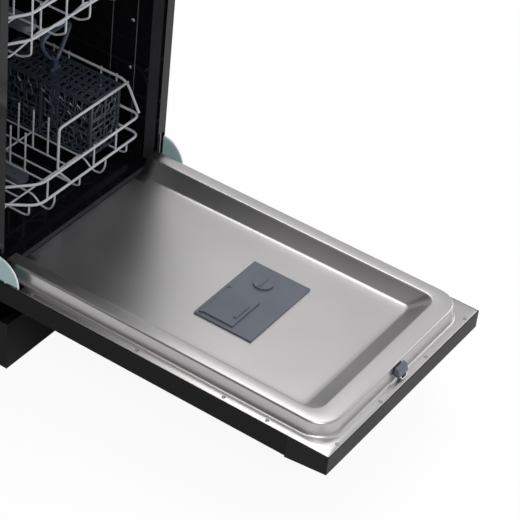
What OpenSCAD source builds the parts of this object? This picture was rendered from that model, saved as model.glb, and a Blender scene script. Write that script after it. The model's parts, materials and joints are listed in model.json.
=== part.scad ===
// Free-standing slimline dishwasher, door open, both racks pushed in.
// Floor at z = 0, front frame of the cabinet before the centring shift at y = 0,
// door opening towards -Y, machine centred on x = 0.

/* [Cabinet] */
// Width of the cabinet and the door
cabinet_w = 448; // [440:1:460]
// Height from the floor to the top of the worktop
cabinet_h = 845; // [835:1:870]
// Depth from the front frame to the back
cabinet_d = 560; // [555:1:590]
// Thickness of the steel side and back panels
panel_t = 1.5; // [1:0.1:2]
// Thickness of the worktop
worktop_t = 19; // [16:1:24]
// Reach of the worktop in front of the frame
worktop_over = 36; // [20:1:40]
// Clear height under the base tray
foot_h = 14; // [10:1:16]
// Radius of a foot pad
foot_r = 18; // [14:1:22]
// Height of the top edge of the plinth
plinth_top = 100; // [85:1:101]
// Height of the lower edge of the plinth
plinth_low = 6; // [3:1:12]
// Distance of the plinth in front of the frame
plinth_out = 25; // [15:1:30]

/* [Tub] */
// Space between the tub wall and the outside of the cabinet
tub_side = 18; // [17.5:0.1:19]
// Thickness of the tub sheet
tub_t = 1.5; // [1:0.1:1.8]
// Height of the tub floor
tub_floor = 188; // [187.5:0.1:188.5]
// Width of a wheel ledge
ledge_w = 41; // [38:1:42]
// Radius of the sump opening
sump_r = 88; // [82:1:90]
// Depth position of the sump and the lower spray arm
sump_y = 270; // [266:1:274]
// Radius of a roller of the upper rack
roller_r = 11; // [9:0.5:12]
// Height of the rollers
roller_z = 640; // [638:1:641]

/* [Door] */
// Height of the hinge axis
hinge_z = 186; // [184.5:0.1:187]
// Gap between the closed door's flange and the front frame
face_gap = 2; // [1.5:0.1:2.5]
// Length of the door below the hinge axis
door_below = 72; // [60:1:74]
// Depth of the door panel behind the flange
door_t = 40; // [38:0.5:41]
// Wall of the door panel
door_wall = 2; // [1.5:0.1:2]
// Height of the raised rim of the liner
rim_h = 26; // [25.5:0.1:26]
// Width of the flat band on the rim
rim_band = 30; // [27:1:31]
// Radius of the rim's outer corners
rim_corner_r = 45; // [30:1:60]
// Distance from the rim to the upper edge of the door
rim_margin = 21; // [20:1:24]
// Height of the control fascia
fascia_h = 75; // [72:1:80]
// Radius of a fascia button
button_r = 6; // [5:0.5:7]
// Travel of a fascia button
button_travel = 1.5; // [1:0.1:2]
// Radius of the hinge side guards
guard_r = 44; // [38:1:46]

/* [Lower rack] */
// Distance from a side rim wire to the side of the door's rim
rack_margin = 15; // [14:1:17]
// Radius of a rim wire
rim_wire_r = 2.5; // [2:0.1:2.8]
// Radius of a thin wire
thin_wire_r = 1.8; // [1.5:0.1:2]
// Radius of a rack wheel
wheel_r = 18; // [17:0.5:19]
// Width of a rack wheel
wheel_w = 13; // [11:1:14]
// Height of a plate tine
tine_h = 78; // [50:1:90]
// Spacing of the plate tines
tine_pitch = 32; // [24:1:40]

/* [Cutlery basket] */
// Width of the cutlery basket
cutlery_w = 80; // [78:1:88]
// Length of the cutlery basket
cutlery_l = 220; // [200:1:222]
// Height of the cutlery basket
cutlery_h = 112; // [105:1:116]
// Wall of the cutlery basket
cutlery_wall = 2; // [1.6:0.1:2.4]
// Height of the handle over the basket
handle_h = 90; // [70:1:100]

/* [Upper rack] */
// Height of the upper rack's floor wires
upper_floor_z = 532; // [530:0.5:534]
// Width over the rim wires, centre to centre
upper_w = 360; // [356:1:361]
// Forward step of the middle of the front
upper_step = 20; // [10:1:20]

/* [Spray arms] */
// Reach of the lower arm
lower_arm_l = 148; // [130:1:150]
// Reach of the upper arm
upper_arm_l = 150; // [130:1:165]
// Width of a spray arm
arm_w = 34; // [28:1:38]
// Thickness of a spray arm
arm_t = 11; // [9:0.5:11]

/* [Fits] */
// Gap between pieces that move past each other
run_gap = 0.3; // [0.2:0.05:0.5]
// Radial clearance of a pin in its bore
pin_gap = 0.06; // [0.03:0.01:0.1]

/* [Hidden] */
$fn = 48;
half_w = cabinet_w / 2;
worktop_z = cabinet_h - worktop_t;
top_gap = 3;
door_reach = worktop_z - top_gap - hinge_z;
centre_y = (door_reach - cabinet_d) / 2;
flange_z = hinge_z - face_gap;
ledge_z = flange_z + rim_h;
sheet_t = 1;

tub_half = half_w - tub_side;
tub_rear = cabinet_d - 15;
rim_half = tub_half - 6;
rim_end = door_reach - rim_margin;
rim_start = 2;
tub_top = hinge_z + rim_end + 7;
lip_z = hinge_z - 5;
lip_d = 30;
mouth_half = tub_half - 2;
side_in = half_w - panel_t;

pan_half = rim_half - rim_band;
pan_end = rim_end - 34;
pan_slope = 15;
pan_floor_end = pan_end - 37;
flange_half = half_w - 1.5;
corner_clear = guard_r + 3;

tray_t = 3;
tray_z = foot_h + tray_t;
tray_front = -plinth_out + 3;
tray_wall_y = 95;
tray_rear = cabinet_d - 24;
tray_half = half_w - 4;
foot_x = half_w - 39;
foot_y = 40;
rear_foot_y = cabinet_d - 50;
stud_r = 5;

arm_x = tub_half + 10.2;
pin_r = 4;

wheel_out = rim_half - 12;
wheel_in = wheel_out - wheel_w;
wheel_z = ledge_z + wheel_r + run_gap;
axle_r = 4;
weld = 0.2;
rack_half = rim_half - rack_margin;
rack_front = 27;
rack_rear = tub_rear - 37;
deep = (rack_rear - rack_front) / 481;
wide = rack_half / 185;
wheel_ys = [for (d = [90, 193, 347, 451]) rack_front + d * deep];
base_z = ledge_z + 6;
cross_z = base_z + 2 * thin_wire_r - 0.6;
rim_low_z = flange_z + 82;
rim_mid_z = flange_z + 94;
rim_top_z = flange_z + 143;
front_low_z = flange_z + 54;
foot_ys = [for (d = [54, 157, 306, 416]) rack_front + d * deep];
tine_xs = [-128, -73, -10, 50] * wide;

cutlery_x = wheel_in - 5 - cutlery_w;
cutlery_y = rack_front + 32.5;
cutlery_z = cross_z + thin_wire_r + run_gap;
cutlery_top = cutlery_z + cutlery_h;
cutlery_mid_x = cutlery_x + cutlery_w / 2;
cutlery_mid_y = cutlery_y + cutlery_l / 2;
handle_slot = 8;

upper_half = upper_w / 2;
upper_front = 48;
upper_rear = tub_rear - 45;
upper_rims = [upper_floor_z + 38, upper_floor_z + 85, upper_floor_z + 130];
upper_ys = [for (y = [upper_front + 12 : 54 : upper_rear]) y];
rail_in = tub_half - 17.5;
rail_out = tub_half - 5.5;
roller_in = tub_half - 14;
roller_out = tub_half - 6;
roller_ys = [36, 122];
shelf_x = -upper_half + 10;
shelf_z = upper_floor_z + 82;
shelf_y = [150, 330];
shelf_w = 78;
corner_x = [-rack_half + 44, -rack_half + 100];
corner_y = rack_front + 57;

arm_z = tub_floor + 3.5;
upper_arm_y = 265;
feed_r = 8;
feed_z = upper_floor_z - thin_wire_r - rim_wire_r - feed_r - 1.2;
upper_arm_z = feed_z - feed_r - 4 - arm_t;
feed_end = upper_rear + 8;

disp_x = [-85, 85];
disp_u = [290, 400];
cup_x = [-72, -6];
cup_u = [304, 356];
cap_x = 45;
cap_u = 335;
latch_u = rim_end + 1;
latch_v = 7;
button_u = door_reach - fascia_h + 20;
salt_pos = [78 - tub_half, cabinet_d - 140];
inlet_pos = [half_w - 79, 85];
inlet_r = 13.2;
drain_pos = [half_w - 134, 70];
drain_r = 9;
cord_pos = [74 - half_w, 75];
gland_r = 8.8;
button_xs = [74 - half_w, half_w - 114, half_w - 74];
filter_pos = [0, sump_y + 48];
filter_r = 30;

// Helpers

// Box between two limits on each axis
module slab(x, y, z) {
    translate([x[0], y[0], z[0]])
        cube([x[1] - x[0], y[1] - y[0], z[1] - z[0]]);
}

// Box in door terms: u from the hinge to the upper edge, v above the flange
module door_slab(x, u, v) {
    slab(x, [-u[1], -u[0]], [flange_z + v[0], flange_z + v[1]]);
}

// A piece and its mirror image on the other side of the machine
module both() {
    children();
    mirror([1, 0, 0]) children();
}

module rod_x(x0, x1, y, z, r) {
    translate([x0, y, z]) rotate([0, 90, 0]) cylinder(r = r, h = x1 - x0);
}

module rod_y(y0, y1, x, z, r) {
    translate([x, y0, z]) rotate([-90, 0, 0]) cylinder(r = r, h = y1 - y0);
}

module rod_z(z0, z1, x, y, r) {
    translate([x, y, z0]) cylinder(r = r, h = z1 - z0);
}

// Straight wire between two points, an eight-sided bar; over lengthens it at both ends
module wire(p, q, r, over = 0) {
    d = q - p;
    len = norm(d);
    translate(p)
        rotate([0, acos(d[2] / len), atan2(d[1], d[0])])
            translate([0, 0, -over * r])
                rotate([0, 0, 22.5]) cylinder(r = r, h = len + 2 * over * r, $fn = 8);
}

// Wire bent through a list of points
module bent_wire(points, r, over = 0) {
    for (i = [0 : len(points) - 2])
        wire(points[i], points[i + 1], r, over);
}

// Outline given as (y, z) points, drawn out along X
module along_x(x0, x1, outline) {
    translate([x0, 0, 0]) rotate([90, 0, 90])
        linear_extrude(x1 - x0) polygon(outline);
}

// Rectangle with round corners at its far end, from u0 to u1 in door terms
module round_end(half, u0, u1, r) {
    hull() {
        for (s = [-1, 1])
            translate([s * (half - r), -(u1 - r)]) circle(r = r);
        translate([-half, -u0 - 1]) square([2 * half, 1]);
    }
}

// The same outline raised into a block, built without a hull
module round_block(half, u0, u1, r, v) {
    translate([0, 0, flange_z + v[0]]) linear_extrude(v[1] - v[0]) {
        translate([-half, -(u1 - r)]) square([2 * half, u1 - r - u0]);
        translate([-(half - r), -u1]) square([2 * (half - r), r]);
        for (s = [-1, 1])
            translate([s * (half - r), -(u1 - r)]) circle(r = r);
    }
}

module place() {
    translate([0, centre_y, 0]) children();
}

// Cabinet

// Opening of the tub, with the step down to the lower lip
module tub_hollow() {
    slab([-tub_half, tub_half], [-1, lip_d], [lip_z, tub_top]);
    slab([-tub_half, tub_half], [lip_d - 1, tub_rear], [tub_floor, tub_top]);
}

// Frame around the mouth, narrower beside the hinges
module front_frame() {
    hinge_clear_z = hinge_z + guard_r + 8;
    difference() {
        union() {
            slab([-side_in + 0.2, side_in - 0.2], [0, 2], [hinge_clear_z, worktop_z - 1]);
            both() slab([mouth_half, tub_half + 4.5], [0, 2], [lip_z, hinge_clear_z + 1]);
        }
        slab([-mouth_half, mouth_half], [-1, 3], [lip_z - 10, tub_top - 1.5]);
        slab([-17, 17], [-1, 3], [tub_top - 3, tub_top + 11]);
    }
}

// Raised ledge that the wheels of the lower rack run on
module ledge() {
    slab([tub_half - ledge_w, tub_half], [lip_d, tub_rear], [ledge_z - 2, ledge_z]);
    slab([tub_half - ledge_w, tub_half - ledge_w + 2], [lip_d, tub_rear],
        [tub_floor - 0.5, ledge_z]);
    slab([tub_half - ledge_w, tub_half + 0.5], [lip_d, lip_d + 2], [tub_floor - 0.5, ledge_z]);
}

// Stub axles that carry the rollers of the upper rack
module roller_stubs() {
    for (y = roller_ys) {
        rod_x(roller_in - 0.6, tub_half + 0.5, y, roller_z, pin_r);
        rod_x(roller_out + run_gap, tub_half + 0.5, y, roller_z, pin_r + 2);
    }
}

module tub() {
    color("#121214") {
        difference() {
            slab([-tub_half - tub_t, tub_half + tub_t], [0, tub_rear + tub_t],
                [lip_z - tub_t, tub_top + tub_t]);
            tub_hollow();
            slab([-half_w, half_w], [lip_d + tub_t, cabinet_d], [0, tub_floor - tub_t]);
            translate([0, sump_y, 0]) cylinder(r = sump_r, h = tub_floor + 5);
            translate([salt_pos[0], salt_pos[1], 0]) cylinder(r = 26, h = tub_floor + 5);
            slab([-17, 17], [-1, 29], [tub_top - 1, tub_top + 5]);
        }
        front_frame();
        both() ledge();
        both() roller_stubs();
    }
}

module side_panel() {
    notch_r = door_below + 14;
    difference() {
        slab([side_in, half_w], [0, cabinet_d], [foot_h + 4, worktop_z]);
        intersection() {
            rod_x(side_in - 1, half_w + 1, 0, hinge_z, notch_r);
            slab([side_in - 2, half_w + 2], [-1, notch_r], [0, hinge_z + 2]);
        }
    }
}

module side_panel_left() {
    color("#1b1b1d") mirror([1, 0, 0]) side_panel();
}

module side_panel_right() {
    color("#1b1b1d") side_panel();
}

module worktop() {
    color("#1b1b1d")
        slab([-half_w, half_w], [-worktop_over, cabinet_d], [worktop_z, cabinet_h]);
}

module back_panel() {
    color("#8d9093")
        slab([-side_in + 0.2, side_in - 0.2], [cabinet_d - panel_t, cabinet_d],
            [plinth_top, worktop_z - 0.2]);
}

module base_tray() {
    wall_top = tub_floor - tub_t - run_gap;
    rib_top = plinth_top - 5;
    color("#2a2b2e") difference() {
        union() {
            slab([-tray_half, tray_half], [tray_front, tray_rear], [foot_h, tray_z]);
            both() slab([tray_half - 3, tray_half], [tray_front, tray_wall_y],
                [foot_h, rib_top]);
            both() slab([tray_half - 3, tray_half], [tray_wall_y - 1, tray_rear],
                [foot_h, wall_top]);
            slab([-tray_half, tray_half], [tray_wall_y - 3, tray_wall_y], [foot_h, rib_top]);
            slab([-tray_half, tray_half], [tray_rear - 3, tray_rear], [foot_h, wall_top]);
            for (x = [-foot_x, foot_x])
                rod_z(foot_h, foot_h + 26, x, foot_y, stud_r + 6);
        }
        for (x = [-foot_x, foot_x])
            rod_z(foot_h - 1, foot_h + 30, x, foot_y, stud_r + pin_gap);
        for (x = [-foot_x, foot_x])
            rod_z(foot_h - 1, foot_h + 5, x, rear_foot_y, stud_r + pin_gap);
        rod_y(tray_rear - 5, tray_rear + 1, inlet_pos[0], inlet_pos[1], inlet_r + 1.8);
        rod_y(tray_rear - 5, tray_rear + 1, drain_pos[0], drain_pos[1], drain_r + 1);
        rod_y(tray_rear - 5, tray_rear + 1, cord_pos[0], cord_pos[1], gland_r + 0.2);
    }
}

module plinth() {
    color("#161618") {
        slab([-half_w + 2, half_w - 2], [-plinth_out, tray_front], [plinth_low, plinth_top]);
        both() slab([half_w - 3.5, half_w - 2], [tray_front - 1, tray_front + 40],
            [plinth_low, plinth_top]);
        slab([-half_w + 2, half_w - 2], [-plinth_out, tray_front + 12],
            [plinth_top - 2, plinth_top]);
    }
}

module foot() {
    rod_z(0, foot_h - run_gap, 0, 0, foot_r);
    rod_z(0, foot_h + 24, 0, 0, stud_r);
}

module foot_left() {
    color("#3a3b3e") translate([-foot_x, foot_y, 0]) foot();
}

module foot_right() {
    color("#3a3b3e") translate([foot_x, foot_y, 0]) foot();
}

module rear_feet() {
    color("#3a3b3e") for (x = [-foot_x, foot_x])
        translate([x, rear_foot_y, 0]) {
            rod_z(0, foot_h, 0, 0, foot_r);
            rod_z(0, tray_z, 0, 0, stud_r);
        }
}

module tub_gasket() {
    lip = 4;
    y = [8, lip_d - 2.5];
    color("#2b2c2e") difference() {
        slab([-tub_half, tub_half], y, [lip_z, tub_top]);
        slab([-tub_half + lip, tub_half - lip], [0, lip_d], [lip_z - 1, tub_top - lip]);
        slab([-19, 19], [y[0] - 1, y[1] - 2.5], [tub_top - lip - 1, tub_top + 1]);
    }
}

module lip_seal() {
    color("#2b2c2e") {
        slab([-mouth_half + 3, mouth_half - 3], [2, 8], [lip_z, lip_z + 3]);
        slab([-mouth_half + 3, mouth_half - 3], [0.3, 2.1], [lip_z, lip_z + 3]);
    }
}

module lock_catch() {
    z0 = tub_top + tub_t;
    color("#55585c") {
        difference() {
            slab([-30, 30], [3, 62], [z0, worktop_z - 1]);
            slab([-16, 16], [2, 28], [z0 - 1, z0 + 10.5]);
        }
    }
}

// Water system

module sump() {
    wall = 3;
    low = tub_floor - 66;
    top = tub_floor - 1.6;
    color("#54575b") {
        translate([0, sump_y, 0]) difference() {
            union() {
                rod_z(low, top, 0, 0, sump_r - 1);
                rod_z(tub_floor - tub_t - 3.5, tub_floor - tub_t, 0, 0, sump_r + 10);
            }
            rod_z(low + wall, top + 1, 0, 0, sump_r - 1 - wall);
        }
        rod_z(low + 1, arm_z - run_gap, 0, sump_y, 10);
        rod_z(arm_z - 1, arm_z + arm_t + 1, 0, sump_y, 6);
        rod_y(sump_y + sump_r - 3, sump_y + sump_r + 22, 30, low + 16, 13);
    }
}

module filter_plate() {
    color("#b9bbbd") difference() {
        rod_z(tub_floor - 1.5, tub_floor - 0.3, 0, sump_y, sump_r - 0.6);
        rod_z(tub_floor - 5, tub_floor + 5, 0, sump_y, 10.4);
        rod_z(tub_floor - 5, tub_floor + 5, filter_pos[0], filter_pos[1], filter_r + 0.5);
    }
}

module coarse_filter() {
    low = tub_floor - 60;
    top = tub_floor + 2.6;
    x = filter_pos[0];
    y = filter_pos[1];
    color("#7b7e83") difference() {
        union() {
            rod_z(low, top, x, y, filter_r);
            rod_z(tub_floor + 0.1, top, x, y, filter_r + 4);
        }
        rod_z(low + 2, top + 1, x, y, filter_r - 2);
    }
}

module salt_cap() {
    color("#4c4f54") translate([salt_pos[0], salt_pos[1], 0]) {
        rod_z(tub_floor + run_gap, tub_floor + 9, 0, 0, 30);
        rod_z(tub_floor - 12, tub_floor + 1, 0, 0, 20 - pin_gap);
        slab([-24, 24], [-3, 3], [tub_floor + 8, tub_floor + 12]);
    }
}

module softener() {
    top = tub_floor - tub_t - run_gap;
    color("#d9d9d6") difference() {
        union() {
            slab([salt_pos[0] - 42, salt_pos[0] + 42], [salt_pos[1] - 42, salt_pos[1] + 60],
                [tray_z, top - 12]);
            rod_z(top - 14, tub_floor - 0.2, salt_pos[0], salt_pos[1], 25);
        }
        rod_z(tray_z + 30, tub_floor + 1, salt_pos[0], salt_pos[1], 20);
    }
}

module wash_pump() {
    y = sump_y + sump_r + 62;
    z = 78;
    color("#6d7074") {
        rod_x(-40, 75, y, z, 38);
        rod_x(75, 100, y, z, 30);
        slab([-30, 60], [y - 25, y + 25], [tray_z, z]);
        rod_y(sump_y + sump_r + 22, y - 20, 30, tub_floor - 50, 13);
        rod_z(z, tub_floor - 50, 30, y - 20, 13);
    }
}

module drain_pump() {
    x = 125;
    y = sump_y + 20;
    color("#3f4246") {
        rod_y(y - 30, y + 40, x, 60, 26);
        slab([x - 18, x + 18], [y - 25, y + 35], [tray_z, 60]);
        rod_x(sump_r - 2, x, y, tub_floor - 60 - 12, 9);
        rod_z(60, tub_floor - 60 - 12, x, y, 9);
    }
}

module water_tank() {
    color("#cfd2d2")
        slab([-side_in + 0.8, -tub_half - tub_t - 0.4], [150, tub_rear - 125],
            [tub_floor + 72, tub_top - 189]);
}

module inlet_valve() {
    color("#e2e2df") {
        slab([inlet_pos[0] - 25, inlet_pos[0] + 25], [tray_rear - 45, tray_rear - 3],
            [tray_z, inlet_pos[1] + 27]);
        rod_y(tray_rear - 4, cabinet_d - 1, inlet_pos[0], inlet_pos[1], inlet_r);
    }
}

module drain_spigot() {
    color("#3f4246") {
        rod_y(tray_rear - 20, cabinet_d - 1, drain_pos[0], drain_pos[1], drain_r);
        slab([drain_pos[0] - 12, drain_pos[0] + 12], [tray_rear - 22, tray_rear - 3.2],
            [tray_z, drain_pos[1] + 12]);
    }
}

module cord_gland() {
    color("#1f2022") difference() {
        union() {
            rod_y(tray_rear - 8, tray_rear + 12, cord_pos[0], cord_pos[1], gland_r);
            rod_y(tray_rear + 0.2, tray_rear + 4, cord_pos[0], cord_pos[1], gland_r + 4.2);
        }
        rod_y(tray_rear - 9, tray_rear + 13, cord_pos[0], cord_pos[1], 4);
    }
}

module feed_pipe() {
    y = tub_rear - feed_r - 2;
    color("#7b7e83") difference() {
        union() {
            rod_z(tub_floor + 0.2, feed_z + feed_r, 0, y, feed_r);
            rod_y(feed_end + 0.6, y, 0, feed_z, feed_r - 1);
            slab([-6, 6], [y, tub_rear - 0.3], [feed_z - 224, feed_z - 204]);
        }
        rod_y(feed_end - 1, y, 0, feed_z, feed_r - 3);
    }
}

// Hinges

module hinge_bracket() {
    difference() {
        union() {
            rod_x(arm_x - 3.4, arm_x - 0.4, 0, hinge_z, 8);
            slab([arm_x - 3.4, arm_x - 0.4], [2, 115], [hinge_z - 4, hinge_z + 76]);
        }
        rod_x(arm_x - 5, arm_x + 1, 0, hinge_z, pin_r + pin_gap);
    }
}

module hinge_brackets() {
    color("#a5a8ab") both() hinge_bracket();
}

module counter_springs() {
    z0 = hinge_z + 76;
    spring_x = arm_x - 1.9;
    color("#9a9da0") both() {
        rod_z(z0, z0 + 150, spring_x, 105, 5.5);
        rod_x(tub_half + tub_t, spring_x, 105, z0 + 147, 2.5);
    }
}

module hinge_arm() {
    rod_x(arm_x, arm_x + 2.5, 0, hinge_z, 8);
    rod_x(arm_x - 5.2, arm_x + 2, 0, hinge_z, pin_r);
    along_x(arm_x, arm_x + 2.5, [[4, hinge_z - 5], [-4, hinge_z + 4], [-16, flange_z - 4],
        [-120, flange_z - 8], [-120, flange_z - 30], [26, flange_z - 30]]);
    slab([arm_x - 22, arm_x + 2.5], [-120, -70], [flange_z - 38.4, flange_z - 29]);
}

module hinge_arms() {
    color("#a5a8ab") both() hinge_arm();
}

// Quarter discs that close the hinge slots, centred on the hinge axis
module hinge_guards() {
    x0 = arm_x + 3.2;
    color("#bfd0ce") both() {
        intersection() {
            rod_x(x0, x0 + 1.8, 0, hinge_z, guard_r);
            slab([x0 - 1, x0 + 3], [-guard_r - 1, -0.5], [hinge_z - 0.5, hinge_z + guard_r]);
        }
        slab([x0, x0 + 1.8], [-guard_r, -0.5], [flange_z - 14, hinge_z]);
        slab([x0, flange_half - 0.8], [-guard_r, -20], [flange_z - 14, flange_z - 10]);
    }
}

// Door

module door_panel() {
    u1 = door_reach - fascia_h;
    color("#161618") {
        door_slab([-half_w, half_w], [-door_below, u1], [-door_t, -door_t + 1.5]);
        both() {
            door_slab([half_w - door_wall, half_w], [0, u1], [-door_t, -sheet_t]);
            door_slab([half_w - door_wall, half_w], [-door_below, 1], [-door_t, -20]);
        }
        door_slab([-half_w, half_w], [-door_below, -door_below + 1.5], [-door_t, -20]);
    }
}

// Sunk pan of the liner, grown by t on every side
module pan(t) {
    r = 28;
    floor_half = pan_half - pan_slope;
    hull() {
        for (s = [-1, 1]) {
            translate([s * (pan_half - r), -(pan_end - r), flange_z + rim_h])
                cylinder(r = r + t, h = 1, $fn = 32);
            translate([s * (floor_half - r), -(pan_floor_end - r), flange_z - t])
                cylinder(r = r + t, h = 0.2, $fn = 32);
        }
        door_slab([-pan_half - t, pan_half + t], [rim_start - 1, rim_start], [rim_h, rim_h + 1]);
        door_slab([-floor_half - t, floor_half + t], [rim_start - 1, rim_start], [-t, -t + 0.2]);
    }
}

module door_liner() {
    color("#c3c3c4") {
        difference() {
            union() {
                door_slab([-flange_half, flange_half], [corner_clear, door_reach - 1],
                    [-sheet_t, 0]);
                door_slab([-rim_half - 4, rim_half + 4], [rim_start, corner_clear + 1],
                    [-sheet_t, 0]);
                round_block(rim_half, rim_start, rim_end, rim_corner_r, [-sheet_t, rim_h]);
            }
            difference() {
                round_block(rim_half - sheet_t, rim_start + sheet_t, rim_end - sheet_t,
                    rim_corner_r - sheet_t, [-2 * sheet_t, rim_h - sheet_t]);
                pan(sheet_t);
            }
            pan(0);
            door_slab([disp_x[0] + 4, disp_x[1] - 4], [disp_u[0] + 4, disp_u[1] - 4], [-5, 5]);
        }
    }
}

// Screws that hold the liner: sides, upper edge and the rim beside the hinges
module liner_screws() {
    r = 2.6;
    u_side = [corner_clear + 20, 111, 277, 441, 521];
    color("#8f9192") {
        both() for (u = u_side)
            translate([half_w - 8.5, -u, flange_z]) cylinder(r = r, h = 0.8);
        for (x = [-190, -68, 68, 190])
            translate([x, -(door_reach - 7), flange_z]) cylinder(r = r, h = 0.8);
        both() for (u = [55, 140])
            rod_x(rim_half, rim_half + 0.8, -u, flange_z + 13, r);
    }
}

// Fascia outline in (u, v): proud of the panel at its lower edge, slimmer at the top
module fascia_block(x0, x1, inset) {
    u0 = door_reach - fascia_h + 0.3;
    low = flange_z - door_t - 3 + inset;
    end = flange_z - door_t + 5 + inset;
    top = flange_z - sheet_t;
    along_x(x0, x1, [[-u0 - inset, top], [-door_reach + inset, top], [-door_reach + inset, end],
        [-u0 - inset, low]]);
}

module control_fascia() {
    grip = [door_reach - 38, door_reach - 9];
    color("#1c1c1e") difference() {
        union() {
            difference() {
                fascia_block(-half_w, half_w, 0);
                fascia_block(-half_w + 3, half_w - 3, 3);
                door_slab([-half_w + 3, half_w - 3], [door_reach - fascia_h + 3, door_reach - 3],
                    [-6, 0]);
            }
            door_slab([-78, 78], [grip[0] - 3, grip[1] + 3], [-37, -12]);
        }
        door_slab([-75, 75], grip, [-60, -15]);
        for (x = button_xs)
            translate([x, -button_u, flange_z - 60]) cylinder(r = button_r + run_gap, h = 40);
    }
}

module fascia_button(x) {
    face = flange_z - door_t - 2.2;
    color("#3a3c40") translate([x, -button_u, 0]) {
        rod_z(face, face + 8, 0, 0, button_r);
        rod_z(face + 5.8, face + 7.3, 0, 0, button_r + 1.5);
        rod_z(face + 6, flange_z - 26 - button_travel - 0.4, 0, 0, 3);
    }
}

module button_power() {
    fascia_button(button_xs[0]);
}

module button_program() {
    fascia_button(button_xs[1]);
}

module button_start() {
    fascia_button(button_xs[2]);
}

module control_board() {
    color("#2f5a3c") {
        door_slab([-185, 190], [button_u - 14, button_u + 12], [-26, -24.4]);
        for (x = [-178, 0, 184])
            translate([x, -button_u, flange_z - door_t + 2])
                cylinder(r = 3, h = door_t - 2 - 25.9);
    }
}

module dispenser() {
    color("#5b5e63") difference() {
        union() {
            door_slab(disp_x, disp_u, [0, 3]);
            door_slab([disp_x[0] + 5, disp_x[1] - 5], [disp_u[0] + 5, disp_u[1] - 5], [-34, 1]);
        }
        door_slab(cup_x, cup_u, [-26, 4]);
        translate([cap_x, -cap_u, flange_z - 28]) cylinder(r = 6 + pin_gap, h = 40);
        translate([cap_x, -cap_u, flange_z - 30]) cylinder(r = 20, h = 12);
    }
    color("#5b5e63") for (x = [cup_x[0] - 7.7, cup_x[1] + 5.7])
        difference() {
            door_slab([x, x + 2], [cup_u[0] - 8, cup_u[0] - 2], [2, 7]);
            rod_x(x - 1, x + 3, -(cup_u[0] - 5), flange_z + 4.7, 1.3 + pin_gap);
        }
}

module detergent_lid() {
    color("#6b6f75") {
        door_slab([cup_x[0] - 5, cup_x[1] + 5], [cup_u[0] - 5, cup_u[1] + 3], [3.3, 6]);
        door_slab([cup_x[0] + 14, cup_x[1] - 14], [cup_u[1] - 8, cup_u[1] - 3], [5.5, 8]);
        rod_x(cup_x[0] - 8, cup_x[1] + 8, -(cup_u[0] - 5), flange_z + 4.7, 1.3);
    }
}

module rinse_cap() {
    color("#4c4f54") translate([cap_x, -cap_u, flange_z]) {
        rod_z(3.3, 6.5, 0, 0, 17);
        rod_z(-10, 4, 0, 0, 6);
        slab([-13, 13], [-1.5, 1.5], [6, 8]);
    }
}

module latch_bracket() {
    color("#c9c9ca") both()
        door_slab([13.4, 15.4], [latch_u - 0.9, latch_u + 9], [0, latch_v + 4]);
    color("#c9c9ca") rod_x(-15, 15, -(latch_u + 5), flange_z + latch_v, 1.6);
}

module latch_hook() {
    y = -(latch_u + 5);
    z = flange_z + latch_v;
    color("#565a63") difference() {
        along_x(-13, 13, [[y + 4, z - 4], [y - 5, z - 4], [y - 7, z + 4], [y - 4, z + 15],
            [y + 2, z + 18], [y + 4, z + 16]]);
        rod_x(-14, 14, y, z, 1.6 + pin_gap);
    }
}

// Lower rack

// Depth of the rack's front at x: the left corner is cut in behind the front
function front_at(x) = x > corner_x[1] ? rack_front :
    min(corner_y, rack_front +
        (corner_y - rack_front) * (corner_x[1] - x) / (corner_x[1] - corner_x[0]));

// Rims of the lower rack; the near one dips at the cut-in corner and crosses the front
module rack_rims() {
    half = rack_half;
    top = rim_top_z;
    mid = rim_mid_z;
    low = front_low_z;
    far_top = top + 7;
    bent_wire([[-half, rack_rear, top], [-half, corner_y + 30, top],
        [-half, corner_y + 9, top - 17], [-half + 7, corner_y + 1, mid + 14],
        [corner_x[0] - 9, corner_y - 2, mid + 3], [corner_x[1] + 5, rack_front, mid],
        [half - 10, rack_front, mid], [half, rack_front + 10, mid], [half, rack_rear, mid],
        [-half, rack_rear, mid - 1]], rim_wire_r, weld);
    bent_wire([[-half - 0.8, rack_rear - 1.7, top + 0.6], [half, rack_rear, far_top],
        [half, rack_front + 33, far_top], [half, rack_front + 4, mid + 3]], rim_wire_r, weld);
    bent_wire([[half + 1, rack_front + 29, far_top - 0.9], [0, rack_front + 29, far_top - 0.9],
        [0, rack_front + 29, low + 9], [0, rack_front + 1.2, low - 0.7]], rim_wire_r, weld);
    wire([-half, rack_rear + 1, rim_low_z], [-half, corner_y - 6, rim_low_z], rim_wire_r);
    bent_wire([[-half, corner_y + 5, rim_low_z + 2], [corner_x[0], corner_y, low + 6],
        [corner_x[1], rack_front, low], [half - 10, rack_front, low],
        [half - 0.4, rack_front + 14, low + 0.5], [half - 0.4, foot_ys[0] + 5.3, low + 0.5]],
        rim_wire_r, weld);
}

// Floor wires run in and out and rise to the front's lower wire; two of them dip under it
module rack_floor_wires() {
    for (x = [-136, -96, 22, 150] * wide) {
        y = front_at(x);
        bent_wire([[x, rack_rear + 1, rim_mid_z + 1], [x, rack_rear + 1, base_z + 4],
            [x, rack_rear - 14, base_z], [x, y + 9, base_z], [x, y + 1, base_z + 5],
            [x, y + 1, front_low_z + 2]], thin_wire_r, weld);
    }
    for (x = [-44, 92] * wide) {
        y = front_at(x);
        bent_wire([[x, rack_rear + 1, rim_mid_z + 1], [x, rack_rear + 1, base_z + 4],
            [x, rack_rear - 14, base_z], [x, y + 44, base_z], [x, y + 28, base_z - 15],
            [x, y + 10, base_z - 15], [x, y + 1, base_z], [x, y + 1, front_low_z + 2]],
            thin_wire_r, weld);
    }
}

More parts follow.
